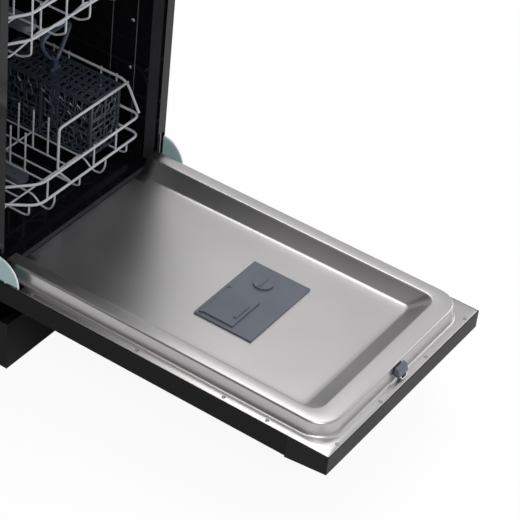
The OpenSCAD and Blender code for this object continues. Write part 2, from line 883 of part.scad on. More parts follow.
// Long uprights end in feet that turn in and cross the floor; short ones stop over a wheel
module rack_uprights() {
    for (y = foot_ys)
        bent_wire([[-rack_half, y, rim_top_z + 4], [-rack_half, y, flange_z + 52],
            [-rack_half + 9, y, cross_z], [rack_half - 9, y, cross_z],
            [rack_half, y, flange_z + 52], [rack_half, y, rim_top_z + 11]], thin_wire_r, weld);
    for (y = wheel_ys) {
        wire([-rack_half + 0.6, y - 3, rim_low_z - 2], [-rack_half + 0.6, y - 3, rim_top_z + 4],
            thin_wire_r);
        wire([rack_half - 0.6, y - 3, rim_mid_z - 2], [rack_half - 0.6, y - 3, rim_top_z + 11],
            thin_wire_r);
    }
    for (x = [-150, -62, 60, 120] * wide)
        wire([x, front_at(x) + 1.5, front_low_z - 2], [x, front_at(x) + 1.5, rim_mid_z + 4],
            thin_wire_r);
    for (x = [-120, -60, 0, 60, 120] * wide)
        wire([x, rack_rear - 1, rim_mid_z - 3], [x, rack_rear - 1, rim_top_z + 8], thin_wire_r);
}

module lower_rack() {
    color("#a9abae") {
        rack_rims();
        rack_floor_wires();
        rack_uprights();
    }
}

// Rows of tines run in and out, so a plate stands across the rack between two of them
module plate_tines() {
    z0 = cross_z + 2 * thin_wire_r - 0.3;
    ys = [for (y = [foot_ys[0] + 37 : tine_pitch : rack_rear - 24]) y];
    color("#a9abae") for (x = tine_xs) {
        for (y = ys)
            translate([x, y, z0 - 0.5]) cylinder(r = thin_wire_r, h = tine_h, $fn = 8);
        wire([x, foot_ys[0] - 3, z0], [x, rack_rear - 10, z0], thin_wire_r);
    }
}

// Clip beside each wheel, with the stub axle that the wheel turns on
module wheel_clip(y) {
    slab([wheel_in - 4, wheel_in - run_gap], [y - 8, y + 8],
        [wheel_z - 10, rim_low_z - rim_wire_r - run_gap]);
    slab([wheel_in - 4, rack_half + 3], [y - 7, y + 7],
        [wheel_z + wheel_r + 3, rim_low_z - rim_wire_r - run_gap]);
    rod_x(wheel_in - 2, wheel_out - 4, y, wheel_z, axle_r);
    rod_x(wheel_out - 4 - 0.4, wheel_out - 2, y, wheel_z, axle_r + 1.5);
}

module wheel_clips() {
    color("#5f646c") both() for (y = wheel_ys)
        wheel_clip(y);
}

// Hollow wheel, open outwards, turning on its clip's stub axle
module rack_wheel(y) {
    difference() {
        rod_x(wheel_in, wheel_out, y, wheel_z, wheel_r);
        rod_x(wheel_in + 4, wheel_out + 1, y, wheel_z, wheel_r - 3);
        rod_x(wheel_in - 1, wheel_out, y, wheel_z, axle_r + pin_gap);
    }
    difference() {
        rod_x(wheel_in + 3, wheel_out - 5, y, wheel_z, axle_r + 3);
        rod_x(wheel_in, wheel_out, y, wheel_z, axle_r + pin_gap);
    }
}

module wheel_pair(i) {
    color("#6a6f78") both() rack_wheel(wheel_ys[i]);
}

module wheels_1() {
    wheel_pair(0);
}

module wheels_2() {
    wheel_pair(1);
}

module wheels_3() {
    wheel_pair(2);
}

module wheels_4() {
    wheel_pair(3);
}

// Cutlery basket

// Row of windows through a wall, counted along its length and height
module windows(origin, step_a, step_b, size, na, nb) {
    for (i = [0 : na - 1], j = [0 : nb - 1])
        translate(origin + i * step_a + j * step_b) cube(size);
}

module cutlery_tub() {
    x0 = cutlery_x;
    y0 = cutlery_y;
    w = cutlery_wall;
    bar = 4;
    na = 9;
    pitch = (cutlery_l - bar) / na;
    rows = 3;
    rise = (cutlery_h - 10) / rows;
    ends = 4;
    end_pitch = (cutlery_w - bar) / ends;
    color("#3c4149") difference() {
        slab([x0, x0 + cutlery_w], [y0, y0 + cutlery_l], [cutlery_z, cutlery_top]);
        slab([x0 + w, x0 + cutlery_w - w], [y0 + w, y0 + cutlery_l - w],
            [cutlery_z + w, cutlery_top + 1]);
        windows([x0 - 1, y0 + bar, cutlery_z + 6], [0, pitch, 0], [0, 0, rise],
            [cutlery_w + 2, pitch - bar, rise - bar], na, rows);
        windows([x0 + bar, y0 - 1, cutlery_z + 6], [end_pitch, 0, 0], [0, 0, rise],
            [end_pitch - bar, w + 1.5, rise - bar], ends, rows);
        windows([x0 + bar, y0 + cutlery_l - w - 0.5, cutlery_z + 6], [end_pitch, 0, 0],
            [0, 0, rise], [end_pitch - bar, w + 2, rise - bar], ends, rows);
    }
    color("#3c4149") {
        for (k = [-2, -1, 1, 2])
            translate([x0 + 1, cutlery_mid_y + k * cutlery_l / 6 - w / 2, cutlery_z + 1])
                cube([cutlery_w - 2, w, cutlery_h - 6]);
        for (s = [-1, 1])
            translate([cutlery_mid_x - 14, cutlery_mid_y + s * (handle_slot / 2 + 1) - 1,
                cutlery_z + 1]) cube([28, w, cutlery_h - 30]);
    }
}

module cutlery_lid() {
    bar = 3;
    nx = 5;
    ny = 12;
    px = (cutlery_w - bar) / nx;
    py = (cutlery_l - bar) / ny;
    z = cutlery_top;
    color("#4a5058") difference() {
        slab([cutlery_x, cutlery_x + cutlery_w], [cutlery_y, cutlery_y + cutlery_l], [z, z + 3]);
        windows([cutlery_x + bar, cutlery_y + bar, z - 1], [px, 0, 0], [0, py, 0],
            [px - bar, py - bar, 5], nx, ny);
        slab([cutlery_mid_x - 22, cutlery_mid_x + 22],
            [cutlery_mid_y - handle_slot / 2 - 1, cutlery_mid_y + handle_slot / 2 + 1],
            [z - 1, z + 4]);
    }
}

module cutlery_handle() {
    x = cutlery_mid_x;
    y = cutlery_mid_y;
    top = cutlery_top + handle_h;
    half = handle_slot / 2 - run_gap;
    color("#6d7683") {
        slab([x - 12, x + 12], [y - half, y + half], [cutlery_z + cutlery_wall, cutlery_top + 6]);
        slab([x - 5, x + 5], [y - half, y + half], [cutlery_top + 5, cutlery_top + 24]);
        bent_wire([[x - 1, y, cutlery_top + 20], [x - 26, y, cutlery_top + 40],
            [x - 38, y, top - 25], [x - 39, y, top - 12], [x - 30, y, top - 4]], 3.4);
        bent_wire([[x + 1, y, cutlery_top + 20], [x + 15, y, cutlery_top + 38],
            [x + 30, y, top - 27], [x + 33, y, top - 15], [x + 22, y, top - 4]], 3.4);
        slab([x - 32, x + 24], [y - 7, y + 7], [top - 6, top]);
    }
}

// Upper rack

function upper_rim(z) = [[-upper_half, upper_rear, z],
    [-upper_half, upper_front, z], [-upper_half + 30, upper_front, z],
    [-upper_half + 64, upper_front - upper_step, z],
    [upper_half - 64, upper_front - upper_step, z], [upper_half - 30, upper_front, z],
    [upper_half, upper_front, z], [upper_half, upper_rear, z], [-upper_half, upper_rear, z]];

module upper_rack() {
    floor_z = upper_floor_z;
    front_y = upper_front - upper_step;
    wave = [[-upper_half, upper_rims[0]], [-upper_half + 10, floor_z + 4],
        [-upper_half + 60, floor_z], [-55, floor_z + 12], [0, floor_z], [55, floor_z + 12],
        [upper_half - 60, floor_z], [upper_half - 10, floor_z + 4], [upper_half, upper_rims[0]]];
    color("#b1b3b6") {
        for (z = upper_rims)
            bent_wire(upper_rim(z), rim_wire_r);
        for (y = upper_ys)
            bent_wire([for (p = wave) [p[0], y, p[1]]], thin_wire_r);
        for (x = [-114, -30, 30, 114])
            bent_wire([[x, front_y, upper_rims[2] + 1], [x, front_y, floor_z + 10],
                [x, upper_front, floor_z - 1.5], [x, upper_rear, floor_z - 1.5],
                [x, upper_rear, upper_rims[2] + 1]], thin_wire_r);
        for (i = [0 : 2 : len(upper_ys) - 2], s = [-1, 1])
            wire([s * upper_half, upper_ys[i] + 27, upper_rims[0] - 1],
                [s * upper_half, upper_ys[i] + 27, upper_rims[2] + 1], thin_wire_r);
        for (y = upper_ys, x = [-53, 53])
            wire([x, y + 0.5, floor_z + 11], [x, y + 0.5, floor_z + 62], thin_wire_r);
        for (y = [shelf_y[0] + 12, shelf_y[1] - 12])
            difference() {
                slab([-upper_half, shelf_x + 6], [y - 5, y + 5], [shelf_z - 6, shelf_z + 14]);
                rod_y(y - 6, y + 6, shelf_x, shelf_z, rim_wire_r + pin_gap);
            }
    }
}

module rail() {
    y = [upper_front - 20, upper_rear];
    t = 2;
    z = roller_z;
    r = roller_r + run_gap;
    slab([rail_in, rail_in + t], y, [z - r - t, z + r + t]);
    slab([rail_in, rail_out], y, [z + r, z + r + t]);
    slab([rail_in, rail_out], y, [z - r - t, z - r]);
    for (y = [100, 400])
        slab([upper_half + rim_wire_r + run_gap, rail_in], [y - 8, y + 8],
            [upper_rims[1] - 2, upper_rims[2] + 2]);
}

module upper_rails() {
    color("#5f646c") both() rail();
}

module roller_pair(y) {
    color("#6a6f78") both() difference() {
        rod_x(roller_in, roller_out, y, roller_z, roller_r);
        rod_x(roller_in - 1, roller_out + 1, y, roller_z, pin_r + pin_gap);
    }
}

module rollers_front() {
    roller_pair(roller_ys[0]);
}

module rollers_rear() {
    roller_pair(roller_ys[1]);
}

module cup_shelf() {
    color("#b1b3b6") {
        rod_y(shelf_y[0], shelf_y[1], shelf_x, shelf_z, rim_wire_r);
        bent_wire([[shelf_x, shelf_y[0] + 2, shelf_z], [shelf_x + shelf_w, shelf_y[0] + 2, shelf_z],
            [shelf_x + shelf_w, shelf_y[1] - 2, shelf_z], [shelf_x, shelf_y[1] - 2, shelf_z]],
            thin_wire_r);
        for (i = [1 : 5])
            wire([shelf_x, shelf_y[0] + 12 + i * 26, shelf_z],
                [shelf_x + shelf_w, shelf_y[0] + 12 + i * 26, shelf_z], thin_wire_r);
    }
}

module upper_feed() {
    color("#7b7e83") difference() {
        union() {
            rod_y(upper_arm_y - 10, feed_end, 0, feed_z, feed_r);
            rod_z(feed_z - feed_r - 3.6, feed_z, 0, upper_arm_y, 12);
            rod_z(upper_arm_z - 2, feed_z, 0, upper_arm_y, 6);
            rod_z(upper_arm_z - 3, upper_arm_z - 0.4, 0, upper_arm_y, 10);
        }
        rod_y(upper_arm_y + 20, feed_end + 1, 0, feed_z, feed_r - 2);
    }
}

// Flat arm with round ends and a hub, bored for its pin
module spray_arm(reach, z) {
    difference() {
        union() {
            slab([-arm_w / 2, arm_w / 2], [-reach + arm_w / 2, reach - arm_w / 2], [z, z + arm_t]);
            for (s = [-1, 1])
                rod_z(z, z + arm_t, 0, s * (reach - arm_w / 2), arm_w / 2);
            rod_z(z, z + arm_t, 0, 0, 26);
        }
        rod_z(z - 1, z + arm_t + 1, 0, 0, 6 + pin_gap);
        for (s = [-1, 1], i = [1 : 4])
            rod_z(z + arm_t - 3, z + arm_t + 1, 5 * s, s * (i * reach / 5 + 8), 1.8);
    }
}

module lower_spray_arm() {
    color("#7f8388") translate([0, sump_y, 0]) spray_arm(lower_arm_l, arm_z);
}

module upper_spray_arm() {
    color("#7f8388") translate([0, upper_arm_y, 0]) spray_arm(upper_arm_l, upper_arm_z);
}

place() tub();
place() side_panel_left();
place() side_panel_right();
place() worktop();
place() back_panel();
place() base_tray();
place() plinth();
place() tub_gasket();
place() lip_seal();
place() sump();
place() filter_plate();
place() coarse_filter();
place() salt_cap();
place() wash_pump();
place() drain_pump();
place() water_tank();
place() softener();
place() inlet_valve();
place() drain_spigot();
place() cord_gland();
place() feed_pipe();
place() lock_catch();
place() hinge_brackets();
place() counter_springs();
place() foot_left();
place() foot_right();
place() rear_feet();
place() rollers_front();
place() rollers_rear();
place() door_panel();
place() door_liner();
place() control_fascia();
place() control_board();
place() dispenser();
place() detergent_lid();
place() rinse_cap();
place() latch_hook();
place() latch_bracket();
place() liner_screws();
place() hinge_guards();
place() hinge_arms();
place() button_power();
place() button_program();
place() button_start();
place() lower_rack();
place() plate_tines();
place() wheel_clips();
place() wheels_1();
place() wheels_2();
place() wheels_3();
place() wheels_4();
place() cutlery_tub();
place() cutlery_lid();
place() cutlery_handle();
place() upper_rack();
place() upper_rails();
place() cup_shelf();
place() upper_feed();
place() upper_spray_arm();
place() lower_spray_arm();
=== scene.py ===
"""The look of a free-standing slimline dishwasher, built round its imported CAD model."""

import json
import math
import random

import bmesh
import bpy
from mathutils import Matrix, Vector


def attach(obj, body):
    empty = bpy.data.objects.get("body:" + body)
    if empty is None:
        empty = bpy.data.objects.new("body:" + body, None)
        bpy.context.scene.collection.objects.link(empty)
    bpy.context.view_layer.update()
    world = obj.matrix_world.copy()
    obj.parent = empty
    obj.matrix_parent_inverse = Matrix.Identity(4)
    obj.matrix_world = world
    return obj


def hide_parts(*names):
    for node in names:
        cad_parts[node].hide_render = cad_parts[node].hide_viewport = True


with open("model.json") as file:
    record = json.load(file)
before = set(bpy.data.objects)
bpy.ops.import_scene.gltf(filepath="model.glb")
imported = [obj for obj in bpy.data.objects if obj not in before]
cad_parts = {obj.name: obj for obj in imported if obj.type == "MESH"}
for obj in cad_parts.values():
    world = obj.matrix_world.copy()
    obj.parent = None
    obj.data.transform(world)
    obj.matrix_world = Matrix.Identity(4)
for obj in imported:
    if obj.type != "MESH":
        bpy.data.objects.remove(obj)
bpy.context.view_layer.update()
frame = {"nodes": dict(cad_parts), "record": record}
NODES = frame["nodes"]

# Sizes are in millimetres, in the cabinet's own frame: x is 0 in the middle, y is 0 at the
# hinge, z is 0 on the ground, and u is the distance from the hinge along the open door.
MM = 0.001
SHIFT_Y = 38.5
HINGE_Z = 186.0
FLANGE_Z = 184.0
RIM_H = 26.0
RIM_HALF = 200.0
RIM_END = 616.0
LEDGE_Z = FLANGE_Z + RIM_H
TUB_HALF = 206.0
TUB_REAR = 545.0


def point(x, y, z):
    """A place in the cabinet's frame, turned into metres in the scene's frame."""
    return Vector((x * MM, (y + SHIFT_Y) * MM, z * MM))


# Materials


def new_material(name):
    """A new node material, its tree and its Principled shader."""
    material = bpy.data.materials.new(name)
    material.use_nodes = True
    tree = material.node_tree
    shader = tree.nodes["Principled BSDF"]
    return material, tree, shader


def noise(tree, scale, detail):
    """A noise value in object space."""
    coords = tree.nodes.new("ShaderNodeTexCoord")
    texture = tree.nodes.new("ShaderNodeTexNoise")
    texture.inputs["Scale"].default_value = scale
    texture.inputs["Detail"].default_value = detail
    texture.inputs["Roughness"].default_value = 0.55
    tree.links.new(coords.outputs["Object"], texture.inputs["Vector"])
    return texture.outputs["Fac"]


def spread(tree, source, low, high):
    """A noise value stretched over a range."""
    node = tree.nodes.new("ShaderNodeMapRange")
    node.inputs["From Min"].default_value = 0.3
    node.inputs["From Max"].default_value = 0.7
    node.inputs["To Min"].default_value = low
    node.inputs["To Max"].default_value = high
    tree.links.new(source, node.inputs["Value"])
    return node.outputs["Result"]


def colour_ramp(tree, source, first, second):
    """A ramp between two stops, each a position and a colour."""
    ramp = tree.nodes.new("ShaderNodeValToRGB")
    for element, (position, colour) in zip(ramp.color_ramp.elements, (first, second)):
        element.position = position
        element.color = (*colour, 1)
    tree.links.new(source, ramp.inputs["Fac"])
    return ramp.outputs["Color"]


def tint(tree, source, colour, vary):
    """A colour that a noise makes a little darker and lighter."""
    return colour_ramp(tree, source, (0.32, shade(colour, 1 - vary)),
                       (0.68, shade(colour, 1 + vary)))


def bump(tree, shader, height, strength, distance):
    """Small relief on the surface."""
    node = tree.nodes.new("ShaderNodeBump")
    node.inputs["Strength"].default_value = strength
    node.inputs["Distance"].default_value = distance
    tree.links.new(height, node.inputs["Height"])
    tree.links.new(node.outputs["Normal"], shader.inputs["Normal"])


def shade(colour, factor):
    """The colour made darker or lighter."""
    return tuple(min(1.0, c * factor) for c in colour)


def surface(name, colour, roughness, metallic=0.0, coat=0.0, grain=900.0, relief=0.15,
            vary=0.12, specular=0.5):
    """Moulded, coated or rolled surface with grain, colour variation and uneven gloss."""
    material, tree, shader = new_material(name)
    broad = noise(tree, 9.0, 3.0)
    tree.links.new(tint(tree, broad, colour, vary), shader.inputs["Base Color"])
    low, high = roughness * (1 - vary), roughness * (1 + vary)
    tree.links.new(spread(tree, broad, low, high), shader.inputs["Roughness"])
    bump(tree, shader, noise(tree, grain, 5.0), relief, 0.12 * MM)
    shader.inputs["Metallic"].default_value = metallic
    shader.inputs["Coat Weight"].default_value = coat
    shader.inputs["Coat Roughness"].default_value = 0.08
    shader.inputs["Specular IOR Level"].default_value = specular
    return material


def satin(name, colour, roughness):
    """Satin rolled steel: even and soft, with a faint grain and slightly uneven gloss."""
    material, tree, shader = new_material(name)
    cloud = noise(tree, 4.0, 2.0)
    tree.links.new(tint(tree, cloud, colour, 0.03), shader.inputs["Base Color"])
    rough = spread(tree, cloud, roughness * 0.93, roughness * 1.08)
    tree.links.new(rough, shader.inputs["Roughness"])
    bump(tree, shader, noise(tree, 2600.0, 3.0), 0.05, 0.04 * MM)
    shader.inputs["Metallic"].default_value = 1.0
    return material


def translucent(name, colour):
    """Milky moulded plastic that lets some light through."""
    material = surface(name, colour, 0.35, grain=300.0, relief=0.05, vary=0.04)
    shader = material.node_tree.nodes["Principled BSDF"]
    shader.inputs["Transmission Weight"].default_value = 0.25
    shader.inputs["Subsurface Weight"].default_value = 0.2
    shader.inputs["Subsurface Radius"].default_value = (0.004, 0.005, 0.005)
    return material


MATERIALS = {
    "black_sheet": surface("black_sheet", (0.006, 0.006, 0.007), 0.42, grain=1400, relief=0.12,
                           vary=0.03, specular=0.08),
    "tub_sheet": surface("tub_sheet", (0.004, 0.004, 0.005), 0.12, coat=0.1, grain=60,
                         relief=0.015, specular=0.15),
    "liner_steel": satin("liner_steel", (0.50, 0.485, 0.48), 0.32),
    "back_sheet": surface("back_sheet", (0.5, 0.51, 0.52), 0.45, metallic=0.8, grain=140,
                          vary=0.04),
    "steel": surface("steel", (0.62, 0.62, 0.63), 0.3, metallic=1.0, grain=500),
    "black_plastic": surface("black_plastic", (0.007, 0.007, 0.008), 0.36, grain=1300,
                             relief=0.12, specular=0.1),
    "plinth_plastic": surface("plinth_plastic", (0.006, 0.006, 0.007), 0.3, grain=200,
                              relief=0.05, specular=0.1),
    "grey_plastic": surface("grey_plastic", (0.085, 0.095, 0.115), 0.36, grain=1000, relief=0.2),
    "pale_plastic": surface("pale_plastic", (0.72, 0.72, 0.69), 0.4, grain=700),
    "guard_plastic": translucent("guard_plastic", (0.42, 0.6, 0.6)),
    "rubber": surface("rubber", (0.02, 0.02, 0.022), 0.65, grain=1800, relief=0.35),
    "wire_coat": surface("wire_coat", (0.43, 0.44, 0.47), 0.24, coat=0.5, grain=500,
                         relief=0.12),
    "cutlery_plastic": surface("cutlery_plastic", (0.035, 0.043, 0.06), 0.28, grain=900,
                               relief=0.1),
    "handle_plastic": surface("handle_plastic", (0.055, 0.075, 0.11), 0.28, grain=900, relief=0.1),
    "board": surface("board", (0.03, 0.16, 0.06), 0.4, grain=400),
}
# The beads' sheet is painted lighter than the tub's black sheet: a painted highlight along each
# bead.
BEAD_HIGHLIGHT_SHEET = surface("bead_painted_highlight", (0.03, 0.03, 0.032), 0.18, coat=0.6, grain=60, relief=0.015)
SCREW_STEEL = surface("screw_steel", (0.34, 0.34, 0.35), 0.3, metallic=1.0, grain=300)
BORDER = surface("guard_border", (0.75, 0.76, 0.76), 0.35, grain=500)
LOOP_STEEL = surface("loop_steel", (0.8, 0.8, 0.82), 0.18, metallic=1.0, grain=300)


# Building blocks


def add_object(name, data):
    """A new object in the scene."""
    piece = bpy.data.objects.new(name, data)
    bpy.context.scene.collection.objects.link(piece)
    return piece


def dress(piece, slot, body, nodes=(), look=None):
    """Gives a piece its material, the body it rides on and the CAD nodes it stands for."""
    piece.data.materials.append(look or MATERIALS[slot])
    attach(piece, body)
    if nodes:
        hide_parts(*nodes)
    return piece


def mesh_piece(name, verts, faces, smooth=True):
    """A mesh object with its normals pointing outwards."""
    mesh = bpy.data.meshes.new(name)
    mesh.from_pydata([tuple(v) for v in verts], [], faces)
    mesh.validate()
    piece = add_object(name, mesh)
    turn_normals_out(mesh)
    for face in mesh.polygons:
        face.use_smooth = smooth
    return piece


def turn_normals_out(mesh):
    """Makes the normals of a mesh agree."""
    work = bmesh.new()
    work.from_mesh(mesh)
    bmesh.ops.recalc_face_normals(work, faces=work.faces)
    work.to_mesh(mesh)
    work.free()


def bevel(piece, width, segments=2):
    """Rounds the edges of a piece that are sharper than 35 degrees."""
    modifier = piece.modifiers.new("bevel", "BEVEL")
    modifier.width = width * MM
    modifier.segments = segments
    modifier.limit_method = "ANGLE"
    modifier.angle_limit = math.radians(35)
    modifier.harden_normals = True
    for face in piece.data.polygons:
        face.use_smooth = True


def crease(piece):
    """Splits the edges of a turned piece that are sharper than 32 degrees."""
    modifier = piece.modifiers.new("creases", "EDGE_SPLIT")
    modifier.split_angle = math.radians(32)


def rounded(points, radius, steps=5):
    """The points of a bent wire, each corner turned into a curve of about that radius."""
    out = [points[0]]
    for before, corner, after in zip(points, points[1:], points[2:]):
        a, b = before - corner, after - corner
        reach = min(radius, a.length * 0.45, b.length * 0.45)
        start, end = corner + a.normalized() * reach, corner + b.normalized() * reach
        for i in range(steps + 1):
            t = i / steps
            out.append(start * (1 - t) ** 2 + corner * 2 * t * (1 - t) + end * t ** 2)
    out.append(points[-1])
    return out


def wires(name, paths, radius, bend=6.0):
    """One curve piece made of round wires, each a list of (x, y, z)."""
    curve = bpy.data.curves.new(name, "CURVE")
    curve.dimensions = "3D"
    curve.bevel_depth = radius * MM
    curve.bevel_resolution = 3
    curve.use_fill_caps = True
    for path in paths:
        places = rounded([point(*p) for p in path], bend * MM)
        spline = curve.splines.new("POLY")
        spline.points.add(len(places) - 1)
        for target, place in zip(spline.points, places):
            target.co = (*place, 1)
        spline.use_smooth = True
    return add_object(name, curve)


def turned(profile, segments, spot, closed=True):
    """A profile of (along, radius) turned round an axis; spot places along and two offsets."""
    verts, faces = [], []
    count = len(profile)
    for i in range(segments):
        angle = 2 * math.pi * i / segments
        for along, radius in profile:
            verts.append(spot(along, radius * math.cos(angle), radius * math.sin(angle)))
    for i in range(segments):
        j = (i + 1) % segments
        for k in range(count if closed else count - 1):
            n = (k + 1) % count
            faces.append((i * count + k, i * count + n, j * count + n, j * count + k))
    return verts, faces


def lathe(profile, centre, side, segments=48):
    """A shape turned round the X axis, outwards on its side of the machine."""
    x, y, z = centre
    return turned(profile, segments, lambda along, a, b: point(x + along * side, y + a, z + b))


def prism(outline, x):
    """An outline of (y, z) pushed from one x to the other."""
    verts = [point(at, y, z) for at in x for y, z in outline]
    n = len(outline)
    faces = [tuple(range(n)), tuple(reversed(range(n, 2 * n)))]
    faces += [(k, (k + 1) % n, n + (k + 1) % n, n + k) for k in range(n)]
    return verts, faces


BOX_FACES = ((0, 1, 3, 2), (4, 6, 7, 5), (0, 4, 5, 1), (2, 3, 7, 6), (0, 2, 6, 4), (1, 5, 7, 3))


def box_into(verts, faces, low, high):
    """Adds a box to a list of vertices and faces."""
    corners = [point(x, y, z) for x in (low[0], high[0]) for y in (low[1], high[1])
               for z in (low[2], high[2])]
    join_part(verts, faces, (corners, BOX_FACES))


def join_part(verts, faces, part):
    """Adds the vertices and faces of a part to those of a piece."""
    start = len(verts)
    verts.extend(part[0])
    faces.extend(tuple(start + i for i in face) for face in part[1])


# Door liner


def u_loop(half, end, radius, start, height):
    """A U-shaped loop round the door: along one side, across the end and back."""
    side_steps, arc_steps, end_steps = 24, 10, 16
    y_arc = end - radius
    out = []
    for i in range(side_steps):
        u = start + (y_arc - start) * i / side_steps
        out.append((-half, u))
    for i in range(arc_steps):
        a = math.pi / 2 * i / arc_steps
        out.append((-half + radius * (1 - math.cos(a)), y_arc + radius * math.sin(a)))
    for i in range(end_steps):
        out.append((-(half - radius) + 2 * (half - radius) * i / end_steps, end))
    for i in range(arc_steps):
        a = math.pi / 2 * i / arc_steps
        out.append((half - radius + radius * math.sin(a), y_arc + radius * math.cos(a)))
    for i in range(side_steps + 1):
        u = y_arc + (start - y_arc) * i / side_steps
        out.append((half, u))
    return [point(x, -u, FLANGE_Z + height) for x, u in out]


# The liner's section from its edge to the pan: each loop has its half width, its end and corner
# radius, where it starts, and its height over the flange.
LINER_LOOPS = [
    (222.3, 635.8, 3, 47, -1.4),
    (222.3, 635.8, 3, 47, -0.3),
    (221.9, 635.4, 3, 47, 0.0),
    (208.0, 625.5, 46, 47, 0.0),
    (205.2, 622.0, 45, 2, 0.2),
    (203.2, 620.0, 43, 2, 1.2),
    (202.2, 618.6, 42, 2, 3.6),
    (200.6, 616.4, 40, 2, 21.6),
    (199.9, 615.5, 39, 2, 24.2),
    (198.4, 613.8, 38, 2, 25.6),
    (196.4, 611.8, 37, 2, 26.0),
    (177.5, 584.5, 25, 2, 26.0),
    (176.2, 583.2, 24, 2, 25.8),
    (175.0, 581.8, 23, 2, 25.0),
    (173.6, 579.2, 22, 2, 23.2),
    (157.4, 549.4, 14, 2, 2.6),
    (155.8, 546.7, 13, 2, 1.3),
    (153.6, 543.6, 12, 2, 0.55),
    (150.6, 539.6, 11, 2, 0.15),
    (146.6, 534.6, 11, 2, 0.0),
    (140.0, 527.0, 10, 2, 0.0),
]
SHEET = 0.8
WINDOW_X = (-82, 82)
WINDOW_U = (293, 397)


def cut_window(mesh, first):
    """Cuts the dispenser's opening out of the pan's floor, the faces from the first on."""
    low = point(WINDOW_X[0], -WINDOW_U[1], FLANGE_Z)
    high = point(WINDOW_X[1], -WINDOW_U[0], FLANGE_Z)
    work = bmesh.new()
    work.from_mesh(mesh)
    floor = list(work.faces)[first:]
    for face in floor:
        face.smooth = False
    for axis in (0, 1):
        normal = [float(i == axis) for i in range(3)]
        for corner in (low, high):
            parts = dict.fromkeys(p for f in floor for p in (*f.edges, *f.verts))
            cut = bmesh.ops.bisect_plane(work, geom=[*parts, *floor], plane_co=corner,
                                         plane_no=normal)
            floor = [g for g in cut["geom"] if isinstance(g, bmesh.types.BMFace)]
    inside = [f for f in floor
              if all(low[i] < f.calc_center_median()[i] < high[i] for i in (0, 1))]
    bmesh.ops.delete(work, geom=inside, context="FACES")
    work.to_mesh(mesh)
    work.free()


def door_liner():
    """The pressed steel inside of the door, one sheet with soft radii."""
    verts = [place for loop in LINER_LOOPS for place in u_loop(*loop)]
    count = len(verts) // len(LINER_LOOPS)
    last = len(verts) - count
    faces = [(a, a + 1, a + count + 1, a + count) for start in range(0, last, count)
             for a in range(start, start + count - 1)]
    walls = len(faces)
    for k in range(count // 2):
        a, b = last + k, last + count - 1 - k
        if a + 1 < b - 1:
            faces.append((a, a + 1, b - 1, b))
        elif a + 1 < b:
            faces.append((a, a + 1, b))
    piece = mesh_piece("liner_sheet", verts, faces)
    cut_window(piece.data, walls)
    sheet = piece.modifiers.new("sheet", "SOLIDIFY")
    sheet.thickness = SHEET * MM
    sheet.offset = -1.0
    dress(piece, "liner_steel", "door", ["door_liner"])


# Wheels


WHEEL_R = 18.0
WHEEL_OUT = 188.0
WHEEL_W = 13.0
WHEEL_Z = LEDGE_Z + WHEEL_R + 0.3
WHEEL_YS = (117.0, 220.0, 374.0, 478.0)
SPOKES = 6
SPOKE_HALF = 0.8


def wheel_profile():
    """Twin-disc tread with a groove, and a deep dish with a hub; x is 0 at the inner face."""
    w, r = WHEEL_W, WHEEL_R
    return [(0.8, 7.0), (0, 8.0), (0, r - 2.0), (0.6, r - 0.6), (1.6, r), (4.6, r),
            (5.4, r - 0.8), (5.8, r - 2.6), (7.2, r - 2.6), (7.6, r - 0.8), (8.4, r),
            (w - 1.6, r), (w - 0.6, r - 0.6), (w, r - 1.8), (w, r - 3.6), (w - 0.8, r - 4.4),
            (w - 6.5, r - 5.2), (w - 7.2, r - 6.2), (w - 7.2, 7.4), (w - 6.6, 6.8),
            (w - 3.6, 6.6), (w - 3.0, 6.0), (w - 3.0, 4.2), (2.0, 4.2), (0.8, 4.8)]


def wheel(index, y):
    """A pair of wheels, one at each side of the rack."""
    verts, faces = [], []
    for side in (-1, 1):
        centre = (side * (WHEEL_OUT - WHEEL_W), y, WHEEL_Z)
        join_part(verts, faces, lathe(wheel_profile(), centre, side))
        for k in range(SPOKES):
            join_part(verts, faces, spoke(centre, side, 2 * math.pi * k / SPOKES))
    piece = mesh_piece("wheel_pair_%d" % index, verts, faces)
    crease(piece)
    dress(piece, "grey_plastic", "wheels_%d" % index, ["wheels_%d" % index])


def spoke(centre, side, angle):
    """A thin rib in the wheel's dish between the hub and the tread."""
    corners = []
    for along in (4.0, WHEEL_W - 3.6):
        for radius in (6.2, WHEEL_R - 4.6):
            for across in (-SPOKE_HALF, SPOKE_HALF):
                y = centre[1] + radius * math.cos(angle) - across * math.sin(angle)
                z = centre[2] + radius * math.sin(angle) + across * math.cos(angle)
                corners.append(point(centre[0] + side * along, y, z))
    return corners, BOX_FACES


# Lower rack


RACK_HALF = 185.0
RACK_FRONT = 27.0
RACK_REAR = TUB_REAR - 37
BASE_Z = LEDGE_Z + 6
CROSS_Z = BASE_Z + 3.0
LOW_Z = FLANGE_Z + 82
MID_Z = FLANGE_Z + 94
TOP_Z = FLANGE_Z + 143
FRONT_LOW_Z = FLANGE_Z + 54
FAR_TOP_Z = TOP_Z + 7
FLOOR_XS = (-136, -96, -44, 22, 92, 150)
DIPPED_XS = (-44, 92)
DIP = 15
FOOT_YS = (81, 184, 333, 443)
FOOT_BEND_Z = FLANGE_Z + 52
FRONT_POST_XS = (-150, -62, 60, 120)
REAR_POST_XS = range(-120, 121, 60)
TINE_XS = (-128, -73, -10, 50)
TINE_YS = range(118, 485, 32)
TINE_H = 77.5
CORNER_X = (-RACK_HALF + 44, -RACK_HALF + 100)
CORNER_Y = RACK_FRONT + 57
THICK = 2.5
THIN = 1.8


def front_at(x):
    """Depth of the rack's front at x: the left corner is cut in."""
    if x > CORNER_X[1]:
        return RACK_FRONT
    share = (CORNER_X[1] - x) / (CORNER_X[1] - CORNER_X[0])
    return RACK_FRONT + (CORNER_Y - RACK_FRONT) * min(1, share)


